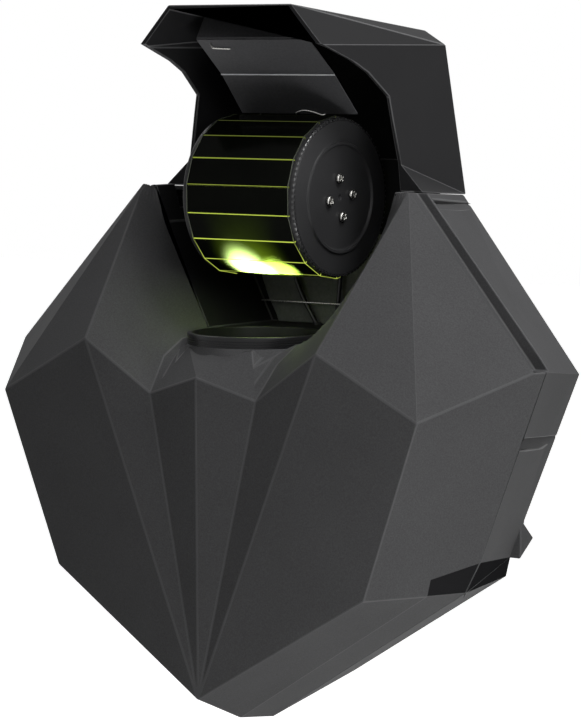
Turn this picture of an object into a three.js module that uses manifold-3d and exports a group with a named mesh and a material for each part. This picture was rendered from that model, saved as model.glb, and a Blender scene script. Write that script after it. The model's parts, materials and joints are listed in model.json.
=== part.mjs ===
// LED barrel effect light that hangs on a rear bracket: a faceted shell, a hood and a turning mirror barrel.
// Millimetres. X is to the right as seen from the front, Y to the back, Z up.
// The drawing frame has X = 0 on the plane of symmetry, Y = 0 on the parting line between the two shells,
// and Z = 0 at the lowest point of the keel. The last lines move the origin to the bracket's mounting face.
import * as THREE from "three";
import { mergeVertices } from "three/addons/utils/BufferGeometryUtils.js";
import Module from "manifold-3d";

const wasm = await Module();
wasm.setup();

// Clearances
const gap = 0.3; // between pieces that rest on each other
const slip = 0.4; // around a shaft, a stud or a button in its hole
const overrun = 6; // how far a cut runs past the surface that it opens

// Body
const bodyHalfWidth = 198;
const shoulderHeight = 328;
const frontDepth = 76; // parting line to the foremost ridge
const rearDepth = 87; // parting line to the back
const shellWall = 2.6;
const flankRounds = 400; // of evening out the curved flanks
const rearHalfWidth = 166.5; // half width across the back
const grooveWidth = 9; // finger grooves along the rear shell
const grooveDepth = 3.2; // at the parting line
const grooveRearDepth = 2;
// The channel between the shells along each upper slope: at the shoulder, and at the belt
const channelDepths = [5.4, 9];
const channelRearY = [18, 7]; // its rear wall
const tongueFrontY = [-3, -8]; // how far its floor runs forward under the front shell
const footReach = 12; // rear corner feet, how far they stand out of the back
const footHalfHeight = 11;
const footWidth = 9;

// Hood
const hoodHeight = 110; // above the shoulders
const hoodFrontReach = 43; // in front of the parting line
const hoodRimY = 19; // where the hood's rim comes down between the shoulders
const hoodTopHalfFront = 46;
const hoodTopHalfRear = 53;
const hoodChamferHalf = 68.5;
const hoodChamferDrop = 24;
const hoodBaseHalf = 84;
const hoodTopFall = 15; // how much lower the top is at the back
const hoodWall = 2.6;
const flareReach = 14; // how far the foot of the hood spreads at its front edge
const flareHeight = 17;
const baffleThick = 1.6;
const baffleHalfWidth = 43;

// Barrel
const facetCount = 18;
const barrelRadius = 49.3; // to the corners between mirrors
const barrelHalfLength = 42;
const barrelDrop = 6; // its axis below the shoulders
const barrelBackGap = 3.7; // behind it, to the bay's back wall
const mirrorThick = 2;
const mirrorJoint = 0.7; // open joint between two mirrors
const drumWall = 2.5;
const drumWeb = 4;
const capThick = 3;
const capRingRadius = 33;
const capRingWidth = 2.2;
const capRingHeight = 1.2;
const capScrewCircle = 11.8; // radius of the circle of screws
const capScrewHeadRadius = 3.1;
const capScrewHeadHeight = 1.8;
const capScrewShankRadius = 1.5;
const capDimpleRadius = 2.2;
const capDimpleDepth = 0.8;
const barrelShaftRadius = 4;
const barrelHubRadius = 10;
const motorBracketThick = 2;
const motorBracketHalfHeight = 22;
const barrelMotorRadius = 14;
const barrelMotorLength = 15;
const barrelMotorGap = 8; // barrel's left end to the motor bracket

// Bay behind the barrel
const bayWall = 2;

// Lens
const lensY = -16;
const bezelRadius = 42;
const bezelWall = 3;
const bezelStand = 9.5; // how far the bezel stands above the shelf
const bezelSkirt = 16; // how far it reaches below
const bezelSides = 36;
const lensEdge = 3;
const lensCrown = 8;

// Optics below the lens
const wheelRadius = 47;
const wheelThick = 1.5;
const wheelOffset = 34; // wheel axle to the optical axis
const wheelHoleRadius = 9;
const wheelHubRadius = 8;
const wheelHubHeight = 5;
const wheelHoles = 8;
const wheelShaftRadius = 2.5;
const goboBelowShelf = 41;
const wheelPitch = 14; // between the two wheels
const wheelMotorRadius = 12;
const motorTopToWheel = 6;
const deckBelowGobo = 40;
const frameThick = 2;
const frameHalfWidth = 62;
const frameFrontY = -58;
const frameSideDepth = 84; // depth of the side cheeks
const frameFlangeHeight = 18;
const condenserRadius = 16;
const condenserHeight = 12;
const ledBoardHalf = 24;
const ledBoardThick = 2;
const ledDomeRadius = 7;
const ledToCondenser = 6;
const sinkHalfDepth = 36;
const sinkBase = 7;
const finThick = 2;
const finCount = 9;
const fanHalf = 40;
const fanDepth = 22;
const fanBore = 37;
const fanHubRadius = 16;
const fanBladeCount = 7;
const fanBladeThick = 2.4;
const fanTipGap = 1.2;
const fanStrutWidth = 5;
const fanStrutThick = 3;

// Electronics
const supplyHalfWidth = 50;
const supplyDepth = 38;
const supplyRoom = 18; // above the supply, to the frame's flange
const boardHalfWidth = 58;
const boardHeight = 66;
const boardThick = 1.6;
const boardBelowDisplay = 40;
const boardChipHeight = 4;
const boardRoom = 6.2; // between the bay's back wall and the board

// Back panel and what it carries
const panelThick = 3;
const displayX = -34;
const displayDrop = 44; // its middle below the shoulders
const displayHalfWidth = 24;
const displayHalfHeight = 9;
const displayThick = 2.4;
const displayLip = 1.5;
const buttonCount = 4;
const buttonRadius = 4;
const buttonPitch = 14;
const buttonFirstX = 8;
const buttonStand = 2.2;
const buttonFlangeRadius = 5.2;
const buttonFlangeThick = 1.2;
const buttonTravel = 1.2;
const socketsBelowPivot = 37;
const inletX = -40;
const inletHalfWidth = 14;
const inletHalfHeight = 11;
const inletDepth = 19;
const inletFlange = 3;
const inletFlangeThick = 2;
const inletPinThick = 2;
const inletPinPitch = 7;
const dmxInX = 12;
const dmxOutX = 44;
const dmxRadius = 10;
const dmxDepth = 16;
const dmxFlangeHalf = 13;
const dmxFlangeThick = 2;
const dmxWall = 1.6;
const dmxPinRadius = 1.2;
const dmxPinCircle = 4;
const eyeDrop = 22; // its middle below the shoulders
const eyeRadius = 9;
const eyeHoleRadius = 5;
const eyeThick = 4;
const eyeReach = 14;

// Hanging bracket
const pivotReach = 20; // behind the back panel
const pivotHeightShare = 0.625; // of the shoulder height, level with the balance point
const earX = 70; // outer face of each ear on the back panel
const earThick = 3;
const earRadius = 14;
const bracketReach = 50; // pivot to the mounting face
const bracketThick = 4;
const bracketHalfHeight = 20;
const bracketArmRadius = 15;
const clampHoleX = 32;
const clampHoleRadius = 5.5;
const pivotBoltRadius = 4;
const knobRadius = 17;
const knobLength = 18;
const knobLobes = 6;
const knobLobeRadius = 4;
const washerThick = 1.5;

// Gem corners on the right half, as shares of body half width, front depth and shoulder height
const frontCornerShares = {
  toe: [0, -0.98, 0.069],
  middleRidge: [0, -1, 0.662],
  valley: [0.202, -0.914, 0.625],
  ridge: [0.44, -0.978, 0.72],
  wide: [0.788, -0.932, 0.61],
  low: [0.586, -0.88, 0.284],
  shoulder: [0.51, 0, 1],
  shoulderInner: [0.46, 0, 1],
  bayUpper: [0.424, 0, 0.927],
  bayLower: [0.25, 0, 0.729],
  shelfSide: [0.121, -0.684, 0.71],
  shelfMiddle: [0, -0.77, 0.704],
  keelFront: [0, -0.434, 0.0143],
  keel: [0, 0, 0],
  belt: [1, 0, 0.689],
  shoulderBack: [0.543, 0, 0.997],
};
// Corners that lie on the plane of the lower side facet: only their depth and height are given
const sideCornerShares = {
  beltFront: [-0.105, 0.689],
  footFront: [-0.355, 0.282],
  footFrontTop: [-0.375, 0.314],
  footBack: [0, 0.28],
  footBackTop: [0, 0.338],
};
// Rear corners, as shares of rear half width and shoulder height
const rearCornerShares = {
  rearKeel: [0, 0.047],
  rearFoot: [0.691, 0.268],
  rearFootTop: [0.709, 0.305],
  rearBelt: [1, 0.659],
  rearTop: [0.492, 0.982],
};

const beltBendHeightShare = 0.649; // of the shoulder height
const stackBaseShare = 0.2; // foot of the fan and of the power supply, of the shoulder height

// Depths worked out from the back panel forwards, and heights from the shoulders down
const panelFrontY = rearDepth - panelThick;
const buttonInnerY = panelFrontY - gap - buttonFlangeThick;
const boardBackY = buttonInnerY - 2 * buttonTravel - gap;
const boardFrontY = boardBackY - boardThick - boardChipHeight;
const bayDepth = boardFrontY - boardRoom - bayWall; // the bay's back wall
const barrelY = bayDepth - barrelBackGap - barrelRadius;
const pivotY = rearDepth + pivotReach;
const bracketFaceY = pivotY + bracketReach; // the mounting face
const barrelZ = shoulderHeight - barrelDrop;
const eyeZ = shoulderHeight - eyeDrop;
const displayZ = shoulderHeight - displayDrop;
const boardBaseZ = displayZ - boardBelowDisplay;
const pivotZ = pivotHeightShare * shoulderHeight;
const socketZ = pivotZ - socketsBelowPivot;
const shelfZ = frontCornerShares.shelfMiddle[2] * shoulderHeight;
const goboWheelZ = shelfZ - goboBelowShelf;
const colourWheelZ = goboWheelZ - wheelPitch;
const frameDeckZ = goboWheelZ - deckBelowGobo;
const stackBaseZ = stackBaseShare * shoulderHeight;

const vec = (x, y, z) => new THREE.Vector3(x, y, z);

// Solids: a closed geometry becomes a manifold, and a manifold becomes a named mesh
function solid(geometry) {
  const bare = geometry.clone();
  bare.deleteAttribute("normal");
  bare.deleteAttribute("uv");
  const merged = mergeVertices(bare, 1e-4);
  return new wasm.Manifold(
    new wasm.Mesh({
      numProp: 3,
      vertProperties: merged.attributes.position.array,
      triVerts: new Uint32Array(merged.index.array),
    }),
  );
}

function toGeometry(manifold) {
  const made = manifold.getMesh();
  const geometry = new THREE.BufferGeometry();
  geometry.setAttribute("position", new THREE.BufferAttribute(made.vertProperties, 3));
  geometry.setIndex(new THREE.BufferAttribute(made.triVerts, 1));
  geometry.computeVertexNormals();
  return geometry;
}

const part = new THREE.Group();
part.name = "led_barrel_effect_light";
const assembly = new THREE.Group();
part.add(assembly);

function piece(name, shape, material) {
  const geometry = shape.isBufferGeometry ? shape : toGeometry(shape);
  const mesh = new THREE.Mesh(geometry, material);
  mesh.name = name;
  assembly.add(mesh);
  return mesh;
}

const finish = (color, roughness, metalness) =>
  new THREE.MeshStandardMaterial({ color, roughness, metalness });
const blackPlastic = finish(0x26272a, 0.6, 0);
const softBlack = finish(0x151517, 0.5, 0);
const blackSheet = finish(0x2b2c2e, 0.5, 0.4);
const greySheet = finish(0x77797c, 0.5, 0.4);
const mirrorGlass = finish(0x0f140c, 0.08, 1);
const steel = finish(0x9a9da1, 0.35, 1);
const darkSteel = finish(0x3a3b3d, 0.4, 0.9);
const aluminium = finish(0xb9bcc0, 0.35, 1);
const clearGlass = finish(0xdfe8e4, 0.05, 0);
const circuitGreen = finish(0x1f5a35, 0.6, 0);
const ledCover = finish(0xf2f6d8, 0.3, 0);
const colourGlass = finish(0x9ad21c, 0.15, 0);
const displayGlass = finish(0x101416, 0.1, 0);
const buttonPlastic = finish(0x45474b, 0.6, 0);

// A box from its low corner to its high corner
function box(x0, y0, z0, x1, y1, z1) {
  const geometry = new THREE.BoxGeometry(x1 - x0, y1 - y0, z1 - z0);
  geometry.translate((x0 + x1) / 2, (y0 + y1) / 2, (z0 + z1) / 2);
  return solid(geometry);
}

// A round bar along an axis, from one place on it to another
function bar(axis, radius, from, to, centre, sides = 24) {
  const geometry = new THREE.CylinderGeometry(radius, radius, to - from, sides);
  if (axis === "x") geometry.rotateZ(-Math.PI / 2);
  if (axis === "z") geometry.rotateX(Math.PI / 2);
  const middle = (from + to) / 2;
  const [a, b] = centre;
  if (axis === "x") geometry.translate(middle, a, b);
  if (axis === "y") geometry.translate(a, middle, b);
  if (axis === "z") geometry.translate(a, b, middle);
  return solid(geometry);
}

// A turned body: the profile is [radius, height along the axis], which is Z before it is turned
function turned(profile, sides) {
  const points = profile.map(([r, h]) => new THREE.Vector2(r, h));
  const geometry = new THREE.LatheGeometry(points, sides);
  geometry.rotateX(Math.PI / 2);
  const made = solid(geometry);
  return made.volume() < 0 ? solid(flipped(geometry)) : made;
}

function flipped(geometry) {
  const turnedRound = geometry.clone();
  const index = turnedRound.index.array;
  for (let i = 0; i < index.length; i += 3) [index[i + 1], index[i + 2]] = [index[i + 2], index[i + 1]];
  return turnedRound;
}

// A slab cut to an outline in the plane across an axis; the outline's points are [first, second] there
function slab(axis, outline, from, to) {
  const shape = new THREE.Shape(outline.map(([a, b]) => new THREE.Vector2(a, b)));
  const geometry = new THREE.ExtrudeGeometry(shape, { depth: to - from, bevelEnabled: false });
  // The outline is drawn in X and Y and thickened along Z, then its axes are renamed
  const rename = new THREE.Matrix4();
  if (axis === "x") rename.makeBasis(vec(0, 1, 0), vec(0, 0, 1), vec(1, 0, 0));
  if (axis === "y") rename.makeBasis(vec(1, 0, 0), vec(0, 0, 1), vec(0, -1, 0));
  geometry.translate(0, 0, axis === "y" ? -to : from);
  geometry.applyMatrix4(rename);
  return solid(geometry);
}

// Flat-faced bodies
// Each face is a list of corner names, anticlockwise from outside. A name ending in "-" is the left twin.
const twin = (name) => (name.endsWith("-") ? name.slice(0, -1) : name + "-");

function cornerOf(corners, name) {
  const right = corners[name.endsWith("-") ? name.slice(0, -1) : name];
  return name.endsWith("-") ? vec(-right.x, right.y, right.z) : right.clone();
}

// The faces given, with their mirror images; corners on the plane of symmetry are their own twins
function mirrored(faces, corners) {
  const onPlane = (name) => Math.abs(corners[name.replace("-", "")].x) === 0;
  const tidy = (name) => (onPlane(name) ? name.replace("-", "") : name);
  const left = faces.map((face) => face.map((name) => tidy(twin(tidy(name)))).reverse());
  return faces.map((face) => face.map(tidy)).concat(left);
}

function faceNormal(points) {
  const normal = vec(0, 0, 0);
  points.forEach((p, i) => normal.add(p.clone().cross(points[(i + 1) % points.length])));
  return normal.normalize();
}

function faceTriangles(points) {
  if (points.length === 3) return [[0, 1, 2]];
  const normal = faceNormal(points);
  const across = points[1].clone().sub(points[0]).normalize();
  const along = normal.clone().cross(across);
  const flat = points.map((p) => new THREE.Vector2(p.dot(across), p.dot(along)));
  return THREE.ShapeUtils.triangulateShape(flat, []);
}

// Parts that an edge of a curved flank is cut into, so that the flat faces beside it meet it point for point
const edgeParts = {
  "ridge shoulder": 12,
  "bayLower shelfSide": 4,
  "bayLower bayUpper": 6,
  "bayUpper shoulderInner": 2,
  "ridge valley": 3,
  "shelfSide valley": 3,
  "shoulder shoulderInner": 6,
};

// The points of an edge from one corner to the next, without the last
function edgePoints(place, from, to) {
  const [first, second] = [from, to].sort();
  const parts = edgeParts[`${first} ${second}`.replaceAll("-", "")] ?? 1;
  const points = Array.from({ length: parts + 1 }, (_, i) => place(first).lerp(place(second), i / parts));
  return (from === first ? points : points.reverse()).slice(0, -1);
}

function chain(place, names) {
  const points = names.slice(1).flatMap((name, i) => edgePoints(place, names[i], name));
  return [...points, place(names.at(-1))];
}

// A curved surface between four chains of points: each inner point rests at the mean of its neighbours
function flankTriangles(place) {
  const [outerSide, innerSide, lowSide, highSide] = flankSides.map((names) => chain(place, names));
  const rows = outerSide.length - 1;
  const columns = lowSide.length - 1;
  const grid = outerSide.map((start, i) =>
    lowSide.map((_, j) => start.clone().lerp(innerSide[i], j / columns)),
  );
  grid[0] = lowSide;
  grid[rows] = highSide;
  for (let round = 0; round < flankRounds; round += 1)
    for (let i = 1; i < rows; i += 1)
      for (let j = 1; j < columns; j += 1)
        grid[i][j] = vec(0, 0, 0)
          .add(grid[i - 1][j])
          .add(grid[i + 1][j])
          .add(grid[i][j - 1])
          .add(grid[i][j + 1])
          .divideScalar(4);
  const triangles = [];
  for (let i = 0; i < rows; i += 1)
    for (let j = 0; j < columns; j += 1) {
      const [a, b, c, d] = [grid[i][j], grid[i + 1][j], grid[i + 1][j + 1], grid[i][j + 1]];
      triangles.push([a, b, c], [a, c, d]);
    }
  return triangles;
}

function facetedGeometry(place, faces, curved = false) {
  const triangles = [];
  for (const face of faces) {
    const points = curved ? chain(place, [...face, face[0]]).slice(0, -1) : face.map(place);
    for (const triangle of faceTriangles(points)) triangles.push(triangle.map((i) => points[i]));
  }
  if (curved) {
    triangles.push(...flankTriangles(place));
    triangles.push(...flankTriangles((name) => place(name + "-")).map((t) => t.reverse()));
  }
  const positions = triangles.flat().flatMap((p) => [p.x, p.y, p.z]);
  const geometry = new THREE.BufferGeometry();
  geometry.setAttribute("position", new THREE.Float32BufferAttribute(positions, 3));
  return geometry;
}

// The body inside a shell: every corner moves so that each closed face sinks by the wall and each open
// face moves out by the overrun, in the least squares sense where more than three faces meet.
function hollowPlaces(corners, faces, openFaces, wall, openShift = overrun) {
  const rules = new Map();
  const addRules = (face, shift) => {
    const points = face.map((name) => cornerOf(corners, name));
    const normal = faceNormal(points);
    for (const name of face) {
      if (!rules.has(name)) rules.set(name, []);
      rules.get(name).push([normal, shift]);
    }
  };
  faces.forEach((face) => addRules(face, -wall));
  openFaces.forEach((face) => addRules(face, openShift));
  return (name) => {
    const m = new Array(9).fill(0);
    const rhs = [0, 0, 0];
    for (const [normal, shift] of rules.get(name)) {
      const n = normal.toArray();
      for (let i = 0; i < 3; i += 1) {
        rhs[i] += n[i] * shift;
        for (let j = 0; j < 3; j += 1) m[3 * i + j] += n[i] * n[j];
      }
    }
    const damping = 1e-3;
    for (let i = 0; i < 3; i += 1) m[4 * i] += damping;
    const move = vec(...rhs).applyMatrix3(new THREE.Matrix3().set(...m).invert());
    return cornerOf(corners, name).add(move);
  };
}

function facetedSolid(corners, faces) {
  return solid(facetedGeometry((name) => cornerOf(corners, name), faces));
}

function facetedShell(corners, faces, openFaces, wall, standIn = []) {
  const curved = standIn.length > 0;
  const allFaces = faces.concat(openFaces);
  const outer = solid(facetedGeometry((name) => cornerOf(corners, name), allFaces, curved));
  const inside = hollowPlaces(corners, faces.concat(standIn), openFaces, wall);
  return outer.subtract(solid(facetedGeometry(inside, allFaces, curved)));
}

// Where the gem's corners are
const corners = {};
for (const [name, [x, y, z]] of Object.entries(frontCornerShares))
  corners[name] = vec(x * bodyHalfWidth, y * frontDepth, z * shoulderHeight);

// Where two planes meet at a height
function meeting(first, second, z) {
  const [a, b] = [first.normal, second.normal];
  const [c, d] = [-first.constant - a.z * z, -second.constant - b.z * z];
  const scale = a.x * b.y - a.y * b.x;
  return vec((c * b.y - d * a.y) / scale, (a.x * d - b.x * c) / scale, z);
}

const sidePlane = new THREE.Plane().setFromCoplanarPoints(corners.wide, corners.low, corners.belt);
function onSidePlane(y, z) {
  const { normal, constant } = sidePlane;
  return vec(-(constant + normal.y * y + normal.z * z) / normal.x, y, z);
}
for (const [name, [y, z]] of Object.entries(sideCornerShares))
  corners[name] = onSidePlane(y * frontDepth, z * shoulderHeight);
for (const [name, [x, z]] of Object.entries(rearCornerShares))
  corners[name] = vec(x * rearHalfWidth, rearDepth, z * shoulderHeight);
// The foot strip leans in by a few millimetres at its lower edge
corners.footBack.x -= footHalfHeight / 4;
// The belt's bend lies on the side facet and on the plane of the facet above it, so both stay flat
const { wide, beltFront, shoulder } = corners;
const upperPlane = new THREE.Plane().setFromCoplanarPoints(wide, beltFront, shoulder);
corners.beltBend = meeting(sidePlane, upperPlane, beltBendHeightShare * shoulderHeight);

// Shells
const bezelTopZ = shelfZ + bezelStand;
const bezelBaseZ = shelfZ - bezelSkirt;

const frontFaces = mirrored(
  [
    ["toe", "ridge", "valley"],
    ["toe", "valley", "middleRidge"],
    ["toe", "wide", "ridge"],
    ["toe", "low", "wide"],
    ["ridge", "wide", "shoulder"],
    ["wide", "beltBend", "shoulder"],
    ["beltBend", "beltFront", "shoulder"],
    ["shoulder", "beltFront", "belt"],
    ["wide", "low", "footFrontTop", "footBackTop", "belt", "beltFront", "beltBend"],
    ["low", "footFront", "footFrontTop"],
    ["footFront", "footBack", "footFrontTop"],
    ["footBack", "footBackTop", "footFrontTop"],
    ["toe", "footFront", "low"],
    ["toe", "keelFront", "footFront"],
    ["keelFront", "keel", "footBack"],
    ["keelFront", "footBack", "footFront"],
    ["valley", "shelfSide", "middleRidge"],
    ["shelfSide", "shelfMiddle", "middleRidge"],
  ],
  corners,
).concat([["shelfMiddle", "shelfSide", "bayLower", "bayLower-", "shelfSide-"]]);
// The curved flank beside the bay, between its ridge and the bay's edge. Its flat stand-in gives the wall.
const flankSides = [
  ["ridge", "shoulder"],
  ["shelfSide", "bayLower", "bayUpper", "shoulderInner"],
  ["ridge", "valley", "shelfSide"],
  ["shoulder", "shoulderInner"],
];
const flankStandIn = mirrored(
  [
    ["ridge", "shoulder", "shoulderInner"],
    ["ridge", "shoulderInner", "bayUpper"],
    ["ridge", "bayUpper", "bayLower"],
    ["ridge", "bayLower", "shelfSide"],
    ["ridge", "shelfSide", "valley"],
  ],
  corners,
);
const partingRim = ["keel", "footBack", "footBackTop", "belt", "shoulderBack"];
const bayRim = ["shoulder", "shoulderInner", "bayUpper", "bayLower"];
const leftOf = (names) => names.filter((n) => corners[n].x !== 0).map((n) => n + "-").reverse();
const frontRim = [...partingRim.slice(0, -1), ...bayRim];
const frontOpen = [[...leftOf(frontRim).reverse(), ...[...frontRim].reverse()]];

function frontShell() {
  let shell = facetedShell(corners, frontFaces, frontOpen, shellWall, flankStandIn);
  // Seat of the lens bezel
  const seatLowZ = bezelBaseZ - overrun;
  const seatHighZ = bezelTopZ + overrun;
  shell = shell.subtract(bar("z", bezelRadius + gap, seatLowZ, seatHighZ, [0, lensY], bezelSides));
  // Along each upper slope the front edge leads from the shoulder to the front end of the belt
  const edge = [corners.shoulder.y, corners.beltFront.y];
  shell = shell.subtract(channelRoom(channelDepths, edge, [overrun, overrun], corners.belt.z));
  // The parting line stays open by the gap
  const reach = bodyHalfWidth + overrun;
  const beyond = shoulderHeight + overrun;
  return shell.subtract(box(-reach, -gap, -overrun, reach, overrun, beyond));
}
piece("front_shell", frontShell(), blackPlastic);

const rearFaces = mirrored(
  [
    ["keel", "rearKeel", "rearFoot"],
    ["keel", "rearFoot", "footBack"],
    ["footBack", "rearFoot", "rearFootTop"],
    ["footBack", "rearFootTop", "footBackTop"],
    ["footBackTop", "rearFootTop", "rearBelt"],
    ["footBackTop", "rearBelt", "belt"],
    ["belt", "rearBelt", "rearTop"],
    ["belt", "rearTop", "shoulderBack"],
  ],
  corners,
).concat([["shoulderBack", "rearTop", "rearTop-", "shoulderBack-"]]);
const rearRim = ["rearKeel", "rearFoot", "rearFootTop", "rearBelt", "rearTop"];
const rearOpen = [
  [...partingRim, ...leftOf(partingRim)],
  [...leftOf(rearRim).reverse(), ...[...rearRim].reverse()],
];

// The room of a shallow groove that runs back along the rear shell, at a share of its front and rear edges.
// Grown by the wall, it is the body that backs the groove.
function groove(upperFront, lowerFront, upperRear, lowerRear, share, grow) {
  const places = {};
  const along = (a, b, t) => a.clone().lerp(b, t);
  const edge = (upper, lower, name, shift, depth) => {
    const halfShare = (grooveWidth / 2 + grow) / upper.distanceTo(lower);
    const normal = vec(upper.z - lower.z, 0, lower.x - upper.x).normalize();
    const outwards = normal.x < 0 ? normal.negate() : normal;
    const middle = along(upper, lower, share);
    const top = along(upper, lower, share - halfShare);
    const low = along(upper, lower, share + halfShare);
    places[name + "Top"] = top.clone().addScaledVector(outwards, overrun).setY(shift);
    places[name + "Low"] = low.clone().addScaledVector(outwards, overrun).setY(shift);
    places[name + "LowIn"] = low.clone().addScaledVector(outwards, -grow).setY(shift);
    places[name + "TopIn"] = middle.lerp(top, 0.5).addScaledVector(outwards, -depth - grow).setY(shift);
  };
  edge(upperFront, lowerFront, "front", -overrun, grooveDepth);
  edge(upperRear, lowerRear, "rear", rearDepth + overrun, grooveRearDepth);
  const faces = [
    ["frontTop", "frontTopIn", "frontLowIn", "frontLow"],
    ["rearLow", "rearLowIn", "rearTopIn", "rearTop"],
    ["frontTop", "rearTop", "rearTopIn", "frontTopIn"],
    ["frontTopIn", "rearTopIn", "rearLowIn", "frontLowIn"],
    ["frontLowIn", "rearLowIn", "rearLow", "frontLow"],
    ["frontLow", "rearLow", "rearTop", "frontTop"],
  ];
  const triangles = faces.flatMap(([a, b, c, d]) => [[a, b, c], [a, c, d]]);
  const cutter = facetedSolid(places, triangles);
  const right = cutter.volume() < 0 ? facetedSolid(places, triangles.map((t) => [...t].reverse())) : cutter;
  return right.add(right.mirror([1, 0, 0]));
}

// The outline of the back, drawn in by a distance from the shell's outer faces
function backOutline(inset) {
  const inside = hollowPlaces(corners, rearFaces, rearOpen, inset, 0);
  const right = rearRim.map((name) => inside(name));
  const left = right.filter((p) => p.x > inset).map((p) => vec(-p.x, p.y, p.z)).reverse();
  return [...right, ...left].map((p) => [p.x, p.z]);
}

const panelInset = shellWall + gap;
const ledgeWidth = 4;
const bayTopHalf = corners.shoulderInner.x;
const bayBaseHalf = corners.bayLower.x;

const upperGrooveShare = 0.06;
const lowerGrooveShare = 0.36;

// The room of the channel, down to its depths under the surface and between its front and rear places.
// Each pair holds at the shoulder and at the belt.
function channelRoom([topDepth, lowDepth], [frontTopY, frontLowY], [rearTopY, rearLowY], lowZ) {
  const { shoulder, belt } = corners;
  const slope = belt.clone().sub(shoulder).setY(0).normalize();
  const outX = bodyHalfWidth + overrun;
  const section = (z, depth, frontY, rearY) => {
    const surfaceX = THREE.MathUtils.mapLinear(z, belt.z, shoulder.z, belt.x, shoulder.x);
    const floorX = surfaceX + depth / slope.z;
    return [[floorX, frontY, z], [outX, frontY, z], [outX, rearY, z], [floorX, rearY, z]];
  };
  const highZ = shoulderHeight + overrun;
  const right = wasm.Manifold.hull([
    ...section(lowZ, lowDepth, frontLowY, rearLowY),
    ...section(highZ, topDepth, frontTopY, rearTopY),
  ]);
  return right.add(right.mirror([1, 0, 0]));
}

function rearShell() {
  const reach = bodyHalfWidth + overrun;
  const front = box(-reach, -overrun, -overrun, reach, gap, shoulderHeight + overrun);
  let shell = facetedShell(corners, rearFaces, rearOpen, shellWall).subtract(front);
  const outer = facetedSolid(corners, rearFaces.concat(rearOpen));
  const backingRoom = box(-bodyHalfWidth, gap, 0, bodyHalfWidth, panelFrontY - gap, shoulderHeight);
  for (const places of [
    [corners.shoulderBack, corners.belt, corners.rearTop, corners.rearBelt, upperGrooveShare],
    [corners.belt, corners.footBackTop, corners.rearBelt, corners.rearFootTop, lowerGrooveShare],
  ]) {
    shell = shell.add(groove(...places, shellWall).intersect(outer).intersect(backingRoom));
    shell = shell.subtract(groove(...places, 0));
  }
  // The channel's floor and walls, and the tongue that reaches under the front shell
  const grown = (values) => values.map((value) => value + shellWall);
  const floorDepths = grown(channelDepths);
  const backing = channelRoom(floorDepths, [gap, gap], grown(channelRearY), corners.belt.z - shellWall);
  const tongueBase = corners.belt.z + overrun;
  const tongueRoom = box(-reach, -reach, tongueBase, reach, 2 * gap, corners.bayUpper.z);
  const tongue = channelRoom(floorDepths, tongueFrontY, channelRearY, corners.belt.z).intersect(tongueRoom);
  shell = shell.add(backing.intersect(outer)).add(tongue);
  shell = shell.subtract(channelRoom(channelDepths, [-reach, -reach], channelRearY, corners.belt.z));
  // The ledge that the back panel rests against
  const ledgeY = panelFrontY - gap;
  const ledge = slab("y", backOutline(shellWall - gap), ledgeY - ledgeWidth / 2, ledgeY);
  const ledgeHole = slab("y", backOutline(shellWall + ledgeWidth), 0, rearDepth);
  shell = shell.add(ledge.subtract(ledgeHole));
  // The bay opens upwards: as wide as the shoulders allow in front of the hood, and narrower under it
  const wide = bayTopHalf + bayWall + slip;
  const narrow = hoodBaseHalf - hoodWall - 2 * gap;
  const bayLowZ = corners.bayUpper.z;
  const bayHighZ = shoulderHeight + overrun;
  shell = shell.subtract(box(-wide, -overrun, bayLowZ, wide, hoodRimY - gap, bayHighZ));
  shell = shell.subtract(box(-narrow, -overrun, bayLowZ, narrow, bayDepth + bayWall + gap, bayHighZ));
  // Corner feet on the back
  const panelRoom = slab("y", backOutline(shellWall), 0, rearDepth + gap);
  const foot = slab("x", [
    [rearDepth - shellWall, corners.rearFootTop.z],
    [rearDepth + footReach, corners.rearFootTop.z + footHalfHeight],
    [rearDepth - shellWall, corners.rearFootTop.z + 2 * footHalfHeight + shellWall],
  ], corners.rearFootTop.x, corners.rearFootTop.x + footWidth).subtract(panelRoom);
  return shell.add(foot).add(foot.mirror([1, 0, 0]));
}
piece("rear_shell", rearShell(), blackPlastic);

// Hood
const hoodTopZ = shoulderHeight + hoodHeight;
const roofFrontZ = corners.shoulderBack.z;
const roofRearZ = corners.rearTop.z;
const roofZ = (y) => THREE.MathUtils.lerp(roofFrontZ, roofRearZ, y / rearDepth);
const hoodSideHalf = (z) =>
  THREE.MathUtils.mapLinear(z, roofFrontZ, hoodTopZ - hoodChamferDrop, hoodBaseHalf, hoodChamferHalf);
// The rim seen from the side, from the front edge down: [share of the front reach, share of the height]
const rimShares = [
  [-0.98, 0.785],
  [-0.33, 0.697],
  [0.023, 0.63],
];
const rimHighZ = shoulderHeight + hoodHeight / 2;

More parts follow.
